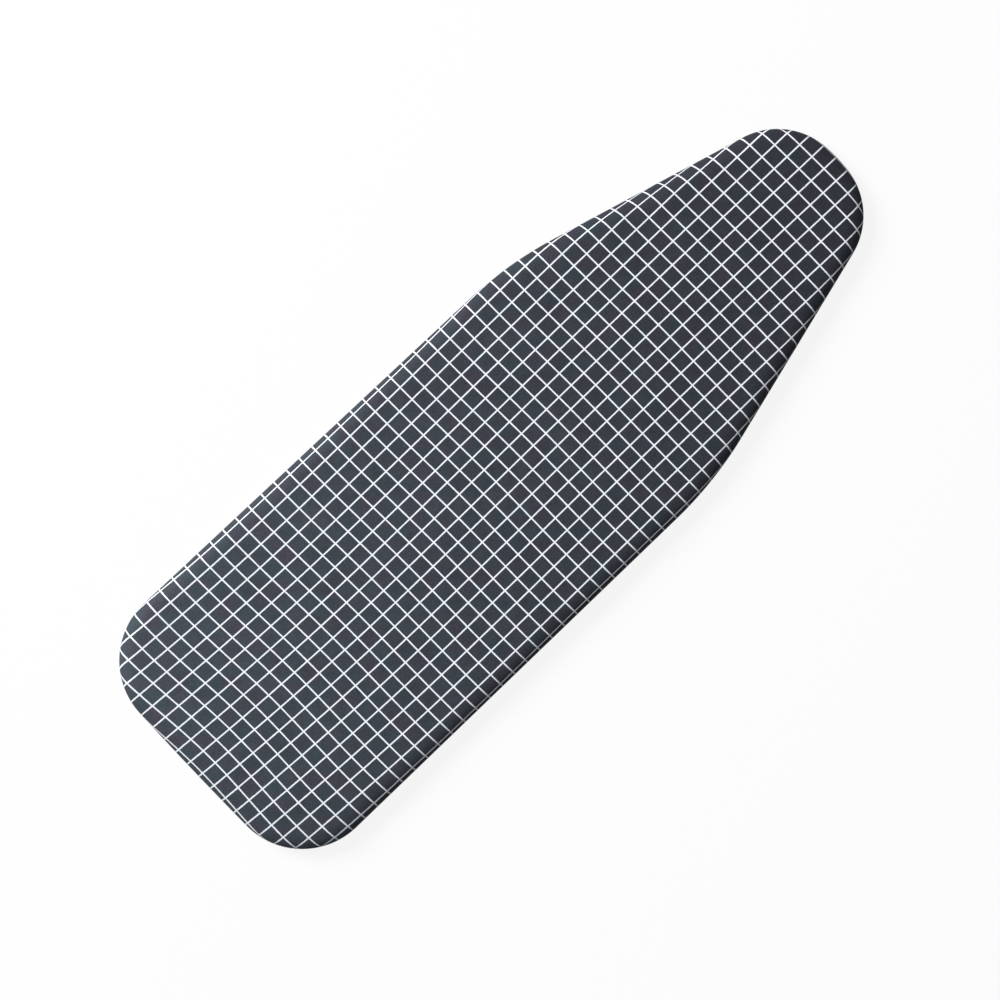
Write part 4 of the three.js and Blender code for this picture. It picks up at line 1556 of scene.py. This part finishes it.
class BOARDCOVER_OT_plunger(bpy.types.Operator):
    """Moulds the plunger of the cord lock"""

    bl_idname = "board_cover.plunger"
    bl_label = "Lock Plunger"
    THUMB_EDGE = 0.0011
    GRIP_HALF, GRIP_PITCH, GRIP_SCALE = 0.0036, 0.0017, 0.9
    BROKEN_EDGE = 0.00014

    def execute(self, context):
        cover = context.scene.board_cover
        lock = cover.lock
        low, high = PLUNGER_LOW, PLUNGER_HIGH
        centre = (low + high) / 2
        under_button = high.y - lock.button
        plunger = add_bar("plunger", (low.x, under_button, low.z), high, Y, lock.corner, segments=6)
        round_edges(plunger, lies_at(Y, high.y), self.THUMB_EDGE, segments=4)
        round_edges(plunger, lies_at(Y, under_button), lock.ease, segments=2)
        half_width, half_height = lock.stem_width / 2, lock.stem_thickness / 2
        stem = add_bar(
            "stem",
            (centre.x - half_width, low.y, centre.z - half_height),
            (centre.x + half_width, high.y - lock.button / 2, centre.z + half_height),
            Y,
            lock.hole_corner,
        )
        shape_with(plunger, stem, "UNION")
        shape_with(plunger, strand_hole(lock, centre, lock.travel / 2), "DIFFERENCE")
        start = (centre.x, high.y, centre.z - self.GRIP_PITCH)
        step = (0, 0, self.GRIP_PITCH)
        cut_grip(plunger, lock, start, (0, 1, 0), X, self.GRIP_HALF, step, self.GRIP_SCALE)
        soften(plunger, self.BROKEN_EDGE)
        plunger.data.materials.append(moulded_plastic("plunger_plastic", cover.finishes.plunger))
        fit_to_frame(plunger, "plunger", "plunger_plastic", "lock_plunger")
        return {"FINISHED"}


class BOARDCOVER_OT_spring(bpy.types.Operator):
    """Winds the spring behind the plunger"""

    bl_idname = "board_cover.spring"
    bl_label = "Lock Spring"
    WIRE_SIDES, TURN_STEPS = 12, 36
    CREASE = math.radians(60)

    def execute(self, context):
        cover = context.scene.board_cover
        lock = cover.lock
        low, high = SPRING_LOW, SPRING_HIGH
        radius = (lock.stem_thickness - lock.wire) / 2
        bpy.ops.object.select_all(action="DESELECT")
        bpy.ops.mesh.primitive_circle_add(
            vertices=self.WIRE_SIDES,
            radius=lock.wire / 2,
            fill_type="NOTHING",
            location=(radius, high.y - lock.wire / 2, 0),
        )
        spring = take_up("spring")
        steps = round(lock.turns * self.TURN_STEPS)
        apply_modifier(
            spring,
            "SCREW",
            axis="Y",
            angle=lock.turns * math.tau,
            screw_offset=low.y - high.y + lock.wire,
            steps=steps,
            render_steps=steps,
        )
        face_outwards(spring, fill=True)
        spring.location = ((BARREL_LOW.x + BARREL_HIGH.x) / 2, 0, (BARREL_LOW.z + BARREL_HIGH.z) / 2)
        settle(spring)
        bpy.ops.object.shade_smooth_by_angle(angle=self.CREASE)
        spring.data.materials.append(spring_steel(cover.finishes))
        fit_to_frame(spring, "cord_lock", "spring_steel", "lock_spring")
        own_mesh(spring)
        return {"FINISHED"}


class BOARDCOVER_OT_cord_stop(bpy.types.Operator):
    """Moulds the end that keeps the lock on the cord"""

    bl_idname = "board_cover.cord_stop"
    bl_label = "Cord End"
    END_EDGE = 0.0013
    MOUTH = 0.002
    GRIP_FROM, GRIP_HALF, GRIP_STEP = 0.0038, 0.0026, (0.0019, 0, 0)
    BROKEN_EDGE = 0.00016

    def execute(self, context):
        cover = context.scene.board_cover
        lock = cover.lock
        low, high = CORD_END_LOW, CORD_END_HIGH
        centre = (low + high) / 2
        stop = add_bar("cord_stop", low, high, X, lock.corner, segments=6)
        round_edges(stop, lies_at(X, high.x), self.END_EDGE, segments=4)
        round_edges(stop, lies_at(X, low.x), lock.ease, segments=3)
        half_width = (lock.hole_width - lock.travel) / 2
        half_height = lock.hole_height / 2
        socket = add_bar(
            "socket",
            (low.x - self.MOUTH, centre.y - half_width, centre.z - half_height),
            (high.x - lock.end_floor, centre.y + half_width, centre.z + half_height),
            X,
            lock.hole_corner,
        )
        shape_with(stop, socket, "DIFFERENCE")
        for level, up in ((low.z, -1), (high.z, 1)):
            start = (low.x + self.GRIP_FROM, centre.y, level)
            cut_grip(stop, lock, start, (0, 0, up), Y, self.GRIP_HALF, self.GRIP_STEP)
        soften(stop, self.BROKEN_EDGE)
        stop.data.materials.append(moulded_plastic("cord_end_plastic", cover.finishes.barrel))
        fit_to_frame(stop, "cover", "lock_plastic", "cord_end")
        return {"FINISHED"}


class BOARDCOVER_PT_pieces(bpy.types.Panel):
    """Lists the settings and the pieces of the cover"""

    bl_idname = "BOARDCOVER_PT_pieces"
    bl_label = "Ironing Board Cover"
    bl_space_type = "VIEW_3D"
    bl_region_type = "UI"
    bl_category = "Board Cover"

    def draw(self, context):
        cover = context.scene.board_cover
        for group in BoardCover.__annotations__:
            box = self.layout.box()
            settings = getattr(cover, group)
            box.label(text=group.capitalize())
            for name in settings.__annotations__:
                box.prop(settings, name)
        for operator in OPERATORS:
            self.layout.operator(operator.bl_idname)


OPERATORS = (
    BOARDCOVER_OT_stage,
    BOARDCOVER_OT_drawcord,
    BOARDCOVER_OT_cloth,
    BOARDCOVER_OT_felt,
    BOARDCOVER_OT_binding,
    BOARDCOVER_OT_stitches,
    BOARDCOVER_OT_barrel,
    BOARDCOVER_OT_plunger,
    BOARDCOVER_OT_spring,
    BOARDCOVER_OT_cord_stop,
)
CLASSES = (
    CoverShape,
    HemShape,
    LockShape,
    PrintPattern,
    PrintPull,
    Finishes,
    Studio,
    BoardCover,
    *OPERATORS,
    BOARDCOVER_PT_pieces,
)


def register():
    for cls in CLASSES:
        bpy.utils.register_class(cls)
    bpy.types.Scene.board_cover = PointerProperty(type=BoardCover)


def unregister():
    del bpy.types.Scene.board_cover
    for cls in reversed(CLASSES):
        bpy.utils.unregister_class(cls)


def main():
    register()
    bpy.ops.board_cover.stage()
    bpy.ops.board_cover.drawcord()
    bpy.ops.board_cover.cloth()
    bpy.ops.board_cover.felt()
    bpy.ops.board_cover.binding()
    bpy.ops.board_cover.stitches()
    bpy.ops.board_cover.barrel()
    bpy.ops.board_cover.plunger()
    bpy.ops.board_cover.spring()
    bpy.ops.board_cover.cord_stop()


if __name__ == "__main__":
    main()
